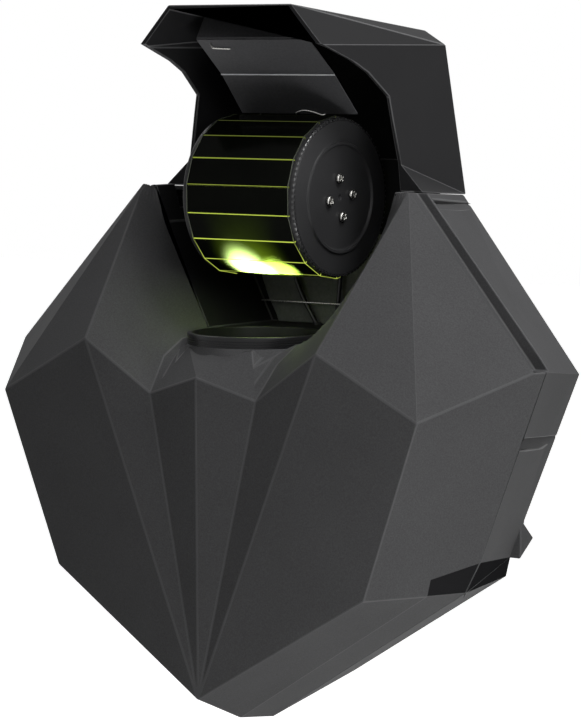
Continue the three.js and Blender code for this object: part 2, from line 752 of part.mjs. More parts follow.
function hood() {
  const y0 = -hoodFrontReach;
  const places = {
    frontTop: vec(hoodTopHalfFront, y0, hoodTopZ),
    frontChamfer: vec(hoodChamferHalf, y0, hoodTopZ - hoodChamferDrop),
    frontBase: vec(hoodBaseHalf, y0, roofZ(y0) + gap),
    rearTop: vec(hoodTopHalfRear, rearDepth, hoodTopZ - hoodTopFall),
    rearChamfer: vec(hoodChamferHalf, rearDepth, hoodTopZ - hoodChamferDrop),
    rearBase: vec(hoodBaseHalf, rearDepth, roofRearZ + gap),
  };
  const closed = mirrored(
    [
      ["frontTop", "frontChamfer", "rearChamfer", "rearTop"],
      ["frontChamfer", "frontBase", "rearBase", "rearChamfer"],
    ],
    places,
  );
  closed.push(["frontTop", "rearTop", "rearTop-", "frontTop-"]);
  closed.push(["rearTop", "rearChamfer", "rearBase", "rearBase-", "rearChamfer-", "rearTop-"]);
  const open = [
    ["frontTop-", "frontChamfer-", "frontBase-", "frontBase", "frontChamfer", "frontTop"],
    ["frontBase-", "rearBase-", "rearBase", "frontBase"],
  ];
  const triangles = (faces) => faces.flatMap((face) => (face.length === 4 ? [
    [face[0], face[1], face[2]],
    [face[0], face[2], face[3]],
  ] : [face]));
  let shell = facetedShell(places, triangles(closed), open, hoodWall);
  // The foot spreads outwards, most at its front edge
  const frontTopZ = roofZ(hoodRimY) + flareHeight;
  const rearTopZ = roofRearZ + flareHeight / 3;
  const flare = {
    frontTop: vec(hoodSideHalf(frontTopZ) - gap, hoodRimY, frontTopZ),
    frontOut: vec(hoodBaseHalf + flareReach, hoodRimY, roofZ(hoodRimY) + gap),
    frontIn: vec(hoodBaseHalf - hoodWall / 2, hoodRimY, roofZ(hoodRimY) + gap),
    rearTop: vec(hoodBaseHalf - hoodWall / 2, rearDepth, rearTopZ),
    rearOut: vec(hoodBaseHalf, rearDepth, roofRearZ + gap),
    rearIn: vec(hoodBaseHalf - hoodWall / 2, rearDepth, roofRearZ + gap),
  };
  const flareFaces = [
    ["frontTop", "frontIn", "frontOut"],
    ["rearTop", "rearOut", "rearIn"],
    ["frontTop", "frontOut", "rearOut"],
    ["frontTop", "rearOut", "rearTop"],
    ["frontOut", "frontIn", "rearIn"],
    ["frontOut", "rearIn", "rearOut"],
    ["frontIn", "frontTop", "rearTop"],
    ["frontIn", "rearTop", "rearIn"],
  ];
  const foot = facetedSolid(flare, flareFaces);
  shell = shell.add(foot).add(foot.mirror([1, 0, 0]));
  // The rim sweeps back from the front edge to the shoulders
  const rimZ = (height) => shoulderHeight + height * hoodHeight;
  const rim = rimShares.map(([depth, height]) => [depth * hoodFrontReach, rimZ(height)]);
  const bow = flareHeight / 8;
  const outline = [
    [-hoodFrontReach - overrun, rim[0][1]],
    ...rim,
    [hoodRimY, rimHighZ],
    [hoodRimY + bow, frontTopZ],
    [hoodRimY, roofZ(hoodRimY)],
    [hoodRimY, shoulderHeight - overrun],
    [-hoodFrontReach - overrun, shoulderHeight - overrun],
  ];
  const reach = hoodBaseHalf + flareReach + overrun;
  return shell.subtract(slab("x", outline, -reach, reach));
}
piece("hood", hood(), blackPlastic);

// A folded sheet: each row is [half width, depth, height of the upper face]
function foldedSheet(rows, thick) {
  const places = {};
  const faces = [];
  rows.forEach(([half, y, z], i) => {
    places["top" + i] = vec(half, y, z);
    places["low" + i] = vec(half, y, z - thick);
  });
  for (let i = 0; i + 1 < rows.length; i += 1) {
    const [a, b, c, d] = ["top" + i, "top" + (i + 1), "low" + i, "low" + (i + 1)];
    faces.push([a, b, b + "-"], [a, b + "-", a + "-"]);
    faces.push([c, c + "-", d + "-"], [c, d + "-", d]);
    faces.push([a, c, d], [a, d, b]);
    faces.push([a + "-", b + "-", d + "-"], [a + "-", d + "-", c + "-"]);
  }
  const last = rows.length - 1;
  faces.push(["top0", "top0-", "low0-"], ["top0", "low0-", "low0"]);
  const [t, l] = ["top" + last, "low" + last];
  faces.push([t, l, l + "-"], [t, l + "-", t + "-"]);
  return facetedSolid(places, faces);
}

const baffleFoldAhead = 8; // of the barrel's axis
const baffleDrop = 41; // below the hood's top, at the fold
const baffleEndBehind = 14.7; // the barrel's axis
const baffleEndY = barrelY + baffleEndBehind;
const baffleClear = 2.5; // between the baffle's end and the barrel
const baffleBow = hoodWall / 2;
const barrelTopAt = (y) => barrelZ + Math.sqrt(barrelRadius ** 2 - (y - barrelY) ** 2);
const baffleRows = [
  [hoodTopHalfFront - hoodWall, -hoodFrontReach + hoodWall, hoodTopZ - hoodWall - 2 * gap],
  [baffleHalfWidth + hoodTopFall, -hoodFrontReach / 2, hoodTopZ - baffleDrop / 2 + baffleBow],
  [baffleHalfWidth, barrelY - baffleFoldAhead, hoodTopZ - baffleDrop],
  [baffleHalfWidth + baffleThick, baffleEndY, barrelTopAt(baffleEndY) + baffleClear + baffleThick],
];
piece("hood_baffle", foldedSheet(baffleRows, baffleThick), blackSheet);

// Tray that closes the bay behind and under the barrel
const trayTopZ = corners.bayUpper.z + flareHeight / 2;
const trayBackTopZ = barrelZ + motorBracketHalfHeight;
const shelfBackZ = corners.bayLower.z;

function bayTray() {
  const trough = (wall, topZ) => {
    const slope = (bayTopHalf - bayBaseHalf) / (shoulderHeight - shelfBackZ);
    const upperHalf = corners.bayUpper.x + wall;
    const bend = corners.bayUpper.z;
    const topHalf = THREE.MathUtils.mapLinear(topZ, bend, shoulderHeight, upperHalf, bayTopHalf + wall);
    const right = [
      [bayBaseHalf + wall * slope, shelfBackZ - wall],
      [upperHalf, bend],
      [topHalf, topZ],
    ];
    return [...right, ...right.map(([x, z]) => [-x, z]).reverse()];
  };
  const backY = bayDepth + bayWall;
  const frontPart = slab("y", trough(bayWall, shoulderHeight - bayWall / 2), gap, hoodRimY - 2 * gap);
  const rearPart = slab("y", trough(bayWall, trayTopZ), gap, backY);
  const upper = hoodSideHalf(trayBackTopZ) - hoodWall - 2 * gap;
  const shield = box(-upper, bayDepth, corners.bayUpper.z, upper, backY, trayBackTopZ);
  const bayRoom = slab("y", trough(0, shoulderHeight + overrun), -overrun, bayDepth);
  let tray = frontPart.add(rearPart).subtract(bayRoom);
  tray = tray.add(shield);
  const seatHighZ = bezelTopZ + overrun;
  return tray.subtract(bar("z", bezelRadius + gap, bezelBaseZ, seatHighZ, [0, lensY], bezelSides));
}
piece("bay_tray", bayTray(), blackPlastic);

// Lens
const bezelBoreRadius = bezelRadius - bezelWall;
const lensSeatZ = bezelBaseZ + bezelWall;
piece(
  "lens_bezel",
  turned(
    [
      [bezelBoreRadius - bezelWall, bezelBaseZ],
      [bezelRadius, bezelBaseZ],
      [bezelRadius, bezelTopZ],
      [bezelBoreRadius, bezelTopZ],
      [bezelBoreRadius, lensSeatZ],
      [bezelBoreRadius - bezelWall, lensSeatZ],
      [bezelBoreRadius - bezelWall, bezelBaseZ],
    ],
    bezelSides,
  ).translate([0, lensY, 0]),
  softBlack,
);

// A lens that is flat below and domed above, with a cylindrical edge
function domedLens(radius, edge, crown, baseZ, steps) {
  const sphere = (radius ** 2 + crown ** 2) / (2 * crown);
  const profile = [[0, baseZ], [radius, baseZ], [radius, baseZ + edge]];
  const full = Math.asin(radius / sphere);
  for (let i = 1; i <= steps; i += 1) {
    const angle = full * (1 - i / steps);
    const r = i === steps ? 0 : sphere * Math.sin(angle);
    profile.push([r, baseZ + edge + crown - sphere * (1 - Math.cos(angle))]);
  }
  return turned(profile, bezelSides);
}
piece(
  "front_lens",
  domedLens(bezelBoreRadius - slip, lensEdge, lensCrown, lensSeatZ + gap, 5).translate([0, lensY, 0]),
  clearGlass,
);

// Optics under the lens: a folded frame carries the wheels, their motors, the condenser and the LED
const deckLowZ = frameDeckZ - frameThick;
const deckSeatZ = frameDeckZ + gap;
const sinkHalfWidth = frameHalfWidth - frameThick - gap;
const ledTopZ = deckLowZ - ledToCondenser;
const ledBoardTopZ = ledTopZ - ledDomeRadius;
const sinkTopZ = ledBoardTopZ - ledBoardThick - gap;
const fanLowZ = stackBaseZ;
const fanTopZ = fanLowZ + fanDepth;
const finLowZ = fanTopZ + gap;

function opticsFrame() {
  const rearY = panelFrontY - gap;
  const halfWidth = frameHalfWidth;
  let frame = box(-halfWidth, frameFrontY, deckLowZ, halfWidth, rearY, frameDeckZ);
  const flangeLowZ = frameDeckZ - frameFlangeHeight;
  frame = frame.add(box(-halfWidth, rearY - frameThick, flangeLowZ, halfWidth, rearY, frameDeckZ));
  const cheekRearY = frameFrontY + frameSideDepth;
  const cheek = box(halfWidth - frameThick, frameFrontY, stackBaseZ, halfWidth, cheekRearY, frameDeckZ);
  frame = frame.add(cheek).add(cheek.mirror([1, 0, 0]));
  frame = frame.subtract(bar("z", condenserRadius + slip, 0, shoulderHeight, [0, lensY], 32));
  // A notch lets the LED's leads pass
  const notch = ledBoardHalf / 2;
  const notchLowZ = deckLowZ - overrun;
  const notchHighZ = frameDeckZ + overrun;
  return frame.subtract(box(-notch, -notch - lensY, notchLowZ, notch, notch - lensY, notchHighZ));
}
piece("optics_frame", opticsFrame(), greySheet);

const condenserFlange = condenserRadius + bezelWall;
piece(
  "condenser_lens",
  turned(
    [
      [0, ledTopZ + gap],
      [condenserRadius, ledTopZ + gap],
      [condenserRadius, deckSeatZ],
      [condenserFlange, deckSeatZ],
      [condenserFlange, deckSeatZ + lensEdge / 2],
      [condenserRadius, deckSeatZ + lensEdge / 2],
      [condenserRadius * 0.8, deckSeatZ + condenserHeight * 0.45],
      [condenserRadius * 0.45, deckSeatZ + condenserHeight * 0.72],
      [0, deckSeatZ + condenserHeight * 0.8],
    ],
    20,
  ).translate([0, lensY, 0]),
  clearGlass,
);

function ledBoard() {
  const half = ledBoardHalf;
  const plate = box(-half, lensY - half, ledBoardTopZ - ledBoardThick, half, lensY + half, ledBoardTopZ);
  const dome = turned(
    [
      [0, ledBoardTopZ - ledBoardThick / 2],
      [ledDomeRadius, ledBoardTopZ - ledBoardThick / 2],
      [ledDomeRadius, ledBoardTopZ],
      [ledDomeRadius * 0.87, ledBoardTopZ + ledDomeRadius * 0.5],
      [ledDomeRadius * 0.5, ledBoardTopZ + ledDomeRadius * 0.87],
      [0, ledTopZ],
    ],
    24,
  );
  return plate.add(dome.translate([0, lensY, 0]));
}
piece("led_board", ledBoard(), ledCover);

function heatSink() {
  const y0 = lensY - sinkHalfDepth;
  const y1 = lensY + sinkHalfDepth;
  const base = box(-sinkHalfWidth, y0, sinkTopZ - sinkBase, sinkHalfWidth, y1, sinkTopZ);
  const pitch = (2 * sinkHalfWidth - finThick) / (finCount - 1);
  let sink = base;
  for (let i = 0; i < finCount; i += 1) {
    const x = -sinkHalfWidth + i * pitch;
    sink = sink.add(box(x, y0, finLowZ, x + finThick, y1, sinkTopZ - sinkBase / 2));
  }
  return sink;
}
piece("led_heatsink", heatSink(), aluminium);

function fanFrame() {
  let frame = box(-fanHalf, lensY - fanHalf, fanLowZ, fanHalf, lensY + fanHalf, fanTopZ);
  frame = frame.subtract(bar("z", fanBore, fanLowZ - overrun, fanTopZ + overrun, [0, lensY], 40));
  const strutTop = fanLowZ + fanStrutThick;
  frame = frame.add(bar("z", fanHubRadius, fanLowZ, strutTop, [0, lensY], 24));
  const long = fanBore + fanStrutThick / 2;
  const across = fanStrutWidth / 2;
  frame = frame.add(box(-long, lensY - across, fanLowZ, long, lensY + across, strutTop));
  frame = frame.add(box(-across, lensY - long, fanLowZ, across, lensY + long, strutTop));
  return frame;
}
piece("fan_frame", fanFrame(), softBlack);

function fanRotor() {
  const low = fanLowZ + fanStrutThick + gap;
  const high = fanTopZ - 2 * fanTipGap;
  let rotor = bar("z", fanHubRadius, low, high, [0, 0], 24);
  const tip = fanBore - fanTipGap;
  const bladeHeight = (high - low) * 0.8;
  const pitch = THREE.MathUtils.degToRad(35);
  for (let i = 0; i < fanBladeCount; i += 1) {
    const blade = new THREE.BoxGeometry(tip - fanHubRadius / 2, fanBladeThick, bladeHeight);
    blade.rotateX(pitch);
    blade.translate((tip + fanHubRadius / 2) / 2, 0, (low + high) / 2);
    blade.rotateZ((2 * Math.PI * i) / fanBladeCount);
    rotor = rotor.add(solid(blade));
  }
  // The blade tips are turned round, and their ends cut level
  return rotor.intersect(bar("z", tip, low, high, [0, 0], 40)).translate([0, lensY, 0]);
}
piece("fan_rotor", fanRotor(), softBlack);

// A wheel on its motor's shaft
function wheelMotor(x, wheelZ) {
  const topZ = wheelZ - motorTopToWheel;
  const body = bar("z", wheelMotorRadius, deckSeatZ, topZ, [x, lensY], 28);
  const shaftTop = wheelZ + wheelThick + wheelHubHeight - gap;
  return body.add(bar("z", wheelShaftRadius, deckSeatZ, shaftTop, [x, lensY], 10));
}

function wheel(x, wheelZ, holeRadius, turn) {
  let disc = bar("z", wheelRadius, wheelZ, wheelZ + wheelThick, [0, 0], 36);
  const hubLowZ = wheelZ - wheelHubHeight / 2;
  const hubHighZ = wheelZ + wheelThick + wheelHubHeight;
  disc = disc.add(bar("z", wheelHubRadius, hubLowZ, hubHighZ, [0, 0], 16));
  for (let i = 0; holeRadius > 0 && i < wheelHoles; i += 1) {
    const angle = turn + (2 * Math.PI * i) / wheelHoles;
    const at = [wheelOffset * Math.cos(angle), wheelOffset * Math.sin(angle)];
    disc = disc.subtract(bar("z", holeRadius, wheelZ - overrun, wheelZ + overrun, at, 12));
  }
  const bore = bar("z", wheelShaftRadius + slip, wheelZ - 2 * overrun, wheelZ + 3 * overrun, [0, 0], 12);
  return disc.subtract(bore).translate([x, lensY, 0]);
}
piece("gobo_motor", wheelMotor(wheelOffset, goboWheelZ), darkSteel);
piece("gobo_wheel", wheel(wheelOffset, goboWheelZ, wheelHoleRadius, Math.PI), darkSteel);
piece("colour_motor", wheelMotor(-wheelOffset, colourWheelZ), darkSteel);
piece("colour_wheel", wheel(-wheelOffset, colourWheelZ, 0, 0), colourGlass);

// Barrel: a hub and drum carry eighteen mirrors, and a motor turns them from the left end
const halfTurn = Math.PI / facetCount;
const facetTurn = (2 * 180) / facetCount; // degrees
const barrelRest = -9; // degrees that the barrel stands turned by at rest
const mirrorFace = barrelRadius * Math.cos(halfTurn); // axis to the outer face of a mirror
const drumFace = mirrorFace - mirrorThick - gap;
const barrelEnd = barrelHalfLength - capThick;
const hubLeft = -barrelHalfLength + drumWeb;
const webRight = barrelEnd - gap;

function facetPrism(face, from, to) {
  const radius = face / Math.cos(halfTurn);
  const geometry = new THREE.CylinderGeometry(radius, radius, to - from, facetCount);
  geometry.rotateY(halfTurn);
  geometry.rotateZ(-Math.PI / 2);
  geometry.rotateX(THREE.MathUtils.degToRad(barrelRest));
  geometry.translate((from + to) / 2, 0, 0);
  return solid(geometry);
}

const barrelCentre = [0, barrelY, barrelZ];

function barrelDrum() {
  const webLeft = webRight - drumWeb;
  let drum = facetPrism(drumFace, -barrelEnd + gap, webRight);
  drum = drum.subtract(bar("x", drumFace - drumWall, -barrelHalfLength - overrun, webLeft, [0, 0], 24));
  drum = drum.add(bar("x", barrelHubRadius, hubLeft, webRight - drumWeb / 2, [0, 0], 24));
  const beyond = webRight + overrun;
  drum = drum.subtract(bar("x", barrelShaftRadius + gap, hubLeft - overrun, beyond, [0, 0], 20));
  for (const place of capScrewPlaces())
    drum = drum.subtract(bar("x", capScrewShankRadius + slip, webLeft - overrun, beyond, place, 12));
  return drum.translate(barrelCentre);
}

// Four screws, which stand turned by a few degrees when the barrel is at rest
const capScrewTurn = THREE.MathUtils.degToRad(8);
function capScrewPlaces() {
  return [0, 1, 2, 3].map((i) => {
    const angle = capScrewTurn + (i * Math.PI) / 2;
    return [capScrewCircle * Math.cos(angle), capScrewCircle * Math.sin(angle)];
  });
}

function barrelCap(side) {
  const rim = mirrorFace - gap;
  const inner = capRingRadius - capRingWidth / 2;
  const outer = capRingRadius + capRingWidth / 2;
  const face = capThick;
  const centre =
    side > 0
      ? [[capDimpleRadius, face], [capDimpleRadius / 2, face - capDimpleDepth], [0, face - capDimpleDepth]]
      : [[barrelHubRadius, face], [barrelHubRadius, 0]];
  const start = side > 0 ? [[0, 0]] : [[barrelHubRadius, 0]];
  const profile = [
    ...start,
    [rim, 0],
    [rim, face * 0.7],
    [rim - face * 0.3, face],
    [outer, face],
    [outer - capRingWidth * 0.25, face + capRingHeight],
    [inner + capRingWidth * 0.25, face + capRingHeight],
    [inner, face],
    ...centre,
  ];
  const closed = side > 0 ? profile : profile.slice(0, -1).concat([[barrelHubRadius, 0]]);
  let cap = turned(closed, 36).rotate([0, 90, 0]).translate([barrelEnd, 0, 0]);
  if (side < 0) cap = cap.mirror([1, 0, 0]);
  const holeRadius = capScrewShankRadius + slip;
  if (side > 0)
    for (const place of capScrewPlaces())
      cap = cap.subtract(bar("x", holeRadius, barrelEnd - overrun, barrelEnd + overrun, place, 12));
  return cap.translate(barrelCentre);
}

function mirrorStrip(index) {
  const half = mirrorFace * Math.tan(halfTurn) - mirrorJoint / 2;
  const back = half - mirrorThick * Math.tan(halfTurn);
  const outline = [
    [mirrorFace - mirrorThick, -back],
    [mirrorFace, -half],
    [mirrorFace, half],
    [mirrorFace - mirrorThick, back],
  ];
  const length = barrelEnd - gap;
  const angle = (index + 0.5) * facetTurn + barrelRest;
  return slab("x", outline, -length, length).rotate([angle, 0, 0]).translate(barrelCentre);
}

piece("barrel_drum", barrelDrum(), darkSteel);
piece("barrel_cap_left", barrelCap(-1), softBlack);
piece("barrel_cap_right", barrelCap(1), softBlack);
for (let i = 0; i < facetCount; i += 1)
  piece("mirror_" + String(i + 1).padStart(2, "0"), mirrorStrip(i), mirrorGlass);
capScrewPlaces().forEach(([y, z], i) => {
  const seat = barrelHalfLength + gap;
  const centre = [barrelY + y, barrelZ + z];
  const shank = bar("x", capScrewShankRadius, webRight - drumWeb, seat + gap, centre, 12);
  const head = bar("x", capScrewHeadRadius, seat, seat + capScrewHeadHeight, centre, 16);
  piece("cap_screw_" + (i + 1), shank.add(head), steel);
});

const barrelAxis = [barrelY, barrelZ];
const plateX = -barrelHalfLength - barrelMotorGap; // right face of the motor bracket
const motorRight = plateX - motorBracketThick - gap;

function motorBracket() {
  const rearY = bayDepth - gap;
  const lowZ = barrelZ - motorBracketHalfHeight;
  const frontY = barrelY - motorBracketHalfHeight;
  const highZ = barrelZ + motorBracketHalfHeight;
  let plate = box(plateX - motorBracketThick, frontY, lowZ, plateX, rearY, highZ);
  const flangeLeft = plateX - barrelMotorRadius;
  plate = plate.add(box(flangeLeft, rearY - motorBracketThick, lowZ, plateX, rearY, highZ));
  const holeRadius = barrelShaftRadius + slip;
  return plate.subtract(bar("x", holeRadius, plateX - 2 * overrun, plateX + overrun, barrelAxis, 20));
}
piece("motor_bracket", motorBracket(), blackSheet);
const motorBack = motorRight - barrelMotorLength;
const boreEndX = motorRight - barrelMotorLength / 2;
const motorBore = bar("x", barrelShaftRadius + gap, boreEndX, motorRight + overrun, barrelAxis, 20);
piece(
  "barrel_motor",
  bar("x", barrelMotorRadius, motorBack, motorRight, barrelAxis, 28).subtract(motorBore),
  darkSteel,
);
piece("barrel_shaft", bar("x", barrelShaftRadius, boreEndX + gap, webRight, barrelAxis, 20), steel);

// Electronics behind the optics
const supplyBackY = panelFrontY - gap;
const supplyFrontY = supplyBackY - supplyDepth;
const supplyTopZ = frameDeckZ - frameFlangeHeight - supplyRoom;
piece(
  "power_supply",
  box(-supplyHalfWidth, supplyFrontY, stackBaseZ, supplyHalfWidth, supplyBackY, supplyTopZ),
  aluminium,
);

const postInset = 6;
const postRadius = 3;
const chipPlaceShares = [
  [-0.5, 0.35],
  [0.1, 0.5],
  [0.55, 0.3],
];

function mainBoard() {
  const y0 = boardBackY - boardThick;
  const chipFrontY = y0 - boardChipHeight;
  const chipBackY = y0 + boardThick / 2;
  let board = box(-boardHalfWidth, y0, boardBaseZ, boardHalfWidth, boardBackY, boardBaseZ + boardHeight);
  const chip = boardHeight / 6;
  for (const [x, z] of chipPlaceShares) {
    const left = x * boardHalfWidth - chip;
    const low = boardBaseZ + z * boardHeight - chip;
    board = board.add(box(left, chipFrontY, low, left + 2 * chip, chipBackY, low + 2 * chip));
  }
  return board;
}
piece("main_board", mainBoard(), circuitGreen);

// Back panel with its ears, posts and openings
const buttonAt = (i) => [buttonFirstX + i * buttonPitch, displayZ];
const buttonPlaces = Array.from({ length: buttonCount }, (_, i) => buttonAt(i));
const ventCount = 6;
const ventWidth = 3.5;
const ventHeight = 34;
const ventPitch = 8;
const ventFirstX = 58;
const ventsBelowSockets = 52;
const ventLowZ = socketZ - ventsBelowSockets;

function backPanel() {
  let panel = slab("y", backOutline(panelInset), panelFrontY, rearDepth);
  for (const side of [-1, 1]) {
    const x = side * (earX - earThick / 2);
    const ear = slab("x", [
      [rearDepth - panelThick / 2, pivotZ - earRadius - earThick],
      [pivotY, pivotZ - earRadius],
      [pivotY, pivotZ + earRadius],
      [rearDepth - panelThick / 2, pivotZ + earRadius + earThick],
    ], x - earThick / 2, x + earThick / 2);
    const round = bar("x", earRadius, x - earThick / 2, x + earThick / 2, [pivotY, pivotZ], 24);
    const nutEnds = [side * (earX - 3 * earThick), side * (earX - earThick / 2)];
    const nut = bar("x", earRadius / 2, Math.min(...nutEnds), Math.max(...nutEnds), [pivotY, pivotZ], 6);
    panel = panel.add(ear).add(round).add(nut);
  }
  const boltHole = earX + overrun;
  panel = panel.subtract(bar("x", pivotBoltRadius + slip, -boltHole, boltHole, [pivotY, pivotZ], 14));
  // Posts for the main board
  for (const x of [-boardHalfWidth + postInset, boardHalfWidth - postInset])
    for (const z of [boardBaseZ + postInset, boardBaseZ + boardHeight - postInset])
      panel = panel.add(bar("y", postRadius, boardBackY + gap, panelFrontY + panelThick / 2, [x, z], 8));
  // Openings for the display, the buttons and the sockets
  const beyond = rearDepth + overrun;
  const through = (x0, z0, x1, z1) => box(x0, panelFrontY - gap, z0, x1, beyond, z1);
  const dw = displayHalfWidth + gap;
  const dh = displayHalfHeight + gap;
  panel = panel.subtract(through(displayX - dw, displayZ - dh, displayX + dw, displayZ + dh));
  for (const place of buttonPlaces)
    panel = panel.subtract(bar("y", buttonRadius + slip, panelFrontY - gap, beyond, place, 16));
  const iw = inletHalfWidth + gap;
  const ih = inletHalfHeight + gap;
  panel = panel.subtract(through(inletX - iw, socketZ - ih, inletX + iw, socketZ + ih));
  for (const x of [dmxInX, dmxOutX])
    panel = panel.subtract(bar("y", dmxRadius + gap, panelFrontY - gap, beyond, [x, socketZ], 20));
  // Air vents on both sides
  for (let i = 0; i < ventCount; i += 1)
    for (const side of [-1, 1]) {
      const x = side * (ventFirstX + i * ventPitch);
      const half = ventWidth / 2;
      panel = panel.subtract(through(x - half, ventLowZ, x + half, ventLowZ + ventHeight));
    }
  return panel;
}
piece("back_panel", backPanel(), blackSheet);

function displayWindow() {
  const w = displayHalfWidth;
  const h = displayHalfHeight;
  const lipY = panelFrontY - gap;
  const pane = box(displayX - w, lipY, displayZ - h, displayX + w, rearDepth - gap, displayZ + h);
  const lip = box(
    displayX - w - displayLip, lipY - displayThick / 2, displayZ - h - displayLip,
    displayX + w + displayLip, lipY, displayZ + h + displayLip,
  );
  return pane.add(lip);
}
piece("display_window", displayWindow(), displayGlass);

buttonPlaces.forEach((place, i) => {
  const flange = bar("y", buttonFlangeRadius, buttonInnerY, buttonInnerY + buttonFlangeThick, place, 16);
  const cap = bar("y", buttonRadius, buttonInnerY, rearDepth + buttonStand, place, 16);
  piece("menu_button_" + (i + 1), flange.add(cap), buttonPlastic);
});

// Three blades, placed in shares of their pitch
const inletPinShares = [
  [-1, -0.3],
  [0, 0.4],
  [1, -0.3],
];

function powerInlet() {
  const faceY = rearDepth + gap;
  const outerY = faceY + inletFlangeThick;
  const wall = inletFlange / 2;
  const boxAt = (grow, y0, y1) =>
    box(
      inletX - inletHalfWidth - grow, y0, socketZ - inletHalfHeight - grow,
      inletX + inletHalfWidth + grow, y1, socketZ + inletHalfHeight + grow,
    );
  let inlet = boxAt(0, outerY - inletDepth, outerY).add(boxAt(inletFlange, faceY, outerY));
  inlet = inlet.subtract(boxAt(-wall, outerY - inletDepth + inletFlange, outerY + overrun));
  const half = inletPinThick / 2;
  const rootY = outerY - inletDepth + inletFlange / 2;
  const tipY = outerY - inletFlange;
  for (const [x, z] of inletPinShares) {
    const pinX = inletX + x * inletPinPitch;
    const pinZ = socketZ + z * inletPinPitch;
    inlet = inlet.add(box(pinX - half, rootY, pinZ - 2 * half, pinX + half, tipY, pinZ + 2 * half));
  }
  return inlet;
}
piece("power_inlet", powerInlet(), softBlack);

function dmxSocket(x, female) {
  const faceY = rearDepth + gap;
  const outerY = faceY + dmxFlangeThick;
  const innerY = outerY - dmxDepth;
  const half = dmxFlangeHalf;
  let socket = bar("y", dmxRadius, innerY, outerY, [x, socketZ], 20);
  socket = socket.add(box(x - half, faceY, socketZ - half, x + half, outerY, socketZ + half));
  const bore = dmxRadius - dmxWall;
  const floorY = female ? outerY - dmxWall : innerY + 2 * dmxWall;
  socket = socket.subtract(bar("y", bore, floorY, outerY + overrun, [x, socketZ], 20));
  for (let i = 0; i < 3; i += 1) {
    const angle = Math.PI / 6 + (i * 2 * Math.PI) / 3;
    const at = [x + dmxPinCircle * Math.cos(angle), socketZ + dmxPinCircle * Math.sin(angle)];
    socket = female
      ? socket.subtract(bar("y", dmxPinRadius + slip, innerY + dmxWall, outerY + overrun, at, 8))
      : socket.add(bar("y", dmxPinRadius, innerY + dmxWall, outerY - dmxWall, at, 8));
  }
  return socket;
}
piece("dmx_input", dmxSocket(dmxInX, false), darkSteel);
piece("dmx_output", dmxSocket(dmxOutX, true), softBlack);

function safetyEye() {
  const faceY = rearDepth + gap;
  const half = eyeThick / 2;
  const holeY = faceY + eyeReach;
  let eye = box(-half, faceY, eyeZ - eyeRadius, half, holeY, eyeZ + eyeRadius);
  eye = eye.add(bar("x", eyeRadius, -half, half, [holeY, eyeZ], 20));
  const padY = faceY + eyeThick / 2;
  eye = eye.add(box(-eyeRadius, faceY, eyeZ - eyeRadius, eyeRadius, padY, eyeZ + eyeRadius));
  return eye.subtract(bar("x", eyeHoleRadius, -overrun, overrun, [holeY, eyeZ], 16));
}
piece("safety_eye", safetyEye(), darkSteel);

// Hanging bracket and its two knobs
const armX = earX + gap; // inner face of each arm
const armOuterX = armX + bracketThick;

function hangingBracket() {
  const innerY = bracketFaceY - bracketThick;
  const lowZ = pivotZ - bracketHalfHeight;
  const highZ = pivotZ + bracketHalfHeight;
  let bracket = box(-armOuterX, innerY, lowZ, armOuterX, bracketFaceY, highZ);
  for (const [x0, x1] of [[armX, armOuterX], [-armOuterX, -armX]]) {
    const arm = slab("x", [
      [pivotY, pivotZ - bracketArmRadius],
      [bracketFaceY - bracketThick / 2, lowZ],
      [bracketFaceY - bracketThick / 2, highZ],
      [pivotY, pivotZ + bracketArmRadius],
    ], x0, x1);
    bracket = bracket.add(arm).add(bar("x", bracketArmRadius, x0, x1, [pivotY, pivotZ], 24));
  }
  const reach = armOuterX + overrun;
  bracket = bracket.subtract(bar("x", pivotBoltRadius + slip, -reach, reach, [pivotY, pivotZ], 14));
  const from = innerY - overrun;
  const to = bracketFaceY + overrun;
  for (const x of [-clampHoleX, clampHoleX])
    bracket = bracket.subtract(bar("y", clampHoleRadius, from, to, [x, pivotZ], 24));
  return bracket;
}
piece("hanging_bracket", hangingBracket(), blackSheet);

function tiltKnob(side) {
  const washerX = armOuterX + gap;
  const headX = washerX + washerThick;
  const tipX = earX - 3 * earThick;
  let knob = bar("x", pivotBoltRadius, tipX, headX + washerThick, [0, 0], 16);
  knob = knob.add(bar("x", knobRadius * 0.7, washerX, headX + washerThick, [0, 0], 28));
  knob = knob.add(bar("x", knobRadius, headX, headX + knobLength, [0, 0], 36));
  for (let i = 0; i < knobLobes; i += 1) {
    const angle = (2 * Math.PI * i) / knobLobes;
    const at = [knobRadius * Math.cos(angle), knobRadius * Math.sin(angle)];
    knob = knob.subtract(bar("x", knobLobeRadius, headX - overrun, headX + knobLength + overrun, at, 10));
  }
  if (side < 0) knob = knob.mirror([1, 0, 0]);
  return knob.translate([0, pivotY, pivotZ]);
}
piece("tilt_knob_left", tiltKnob(-1), softBlack);
piece("tilt_knob_right", tiltKnob(1), softBlack);

// The origin lies on the middle of the bracket's mounting face
assembly.position.set(0, -bracketFaceY, -pivotZ);

export default part;
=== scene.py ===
"""LED barrel effect light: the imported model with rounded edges, real finishes and its small pieces.

Metres. X is to the right as seen from the front, Y to the back, Z up. The origin is the middle of the
mounting face of the hanging bracket.
"""

import json
import math
from contextlib import contextmanager

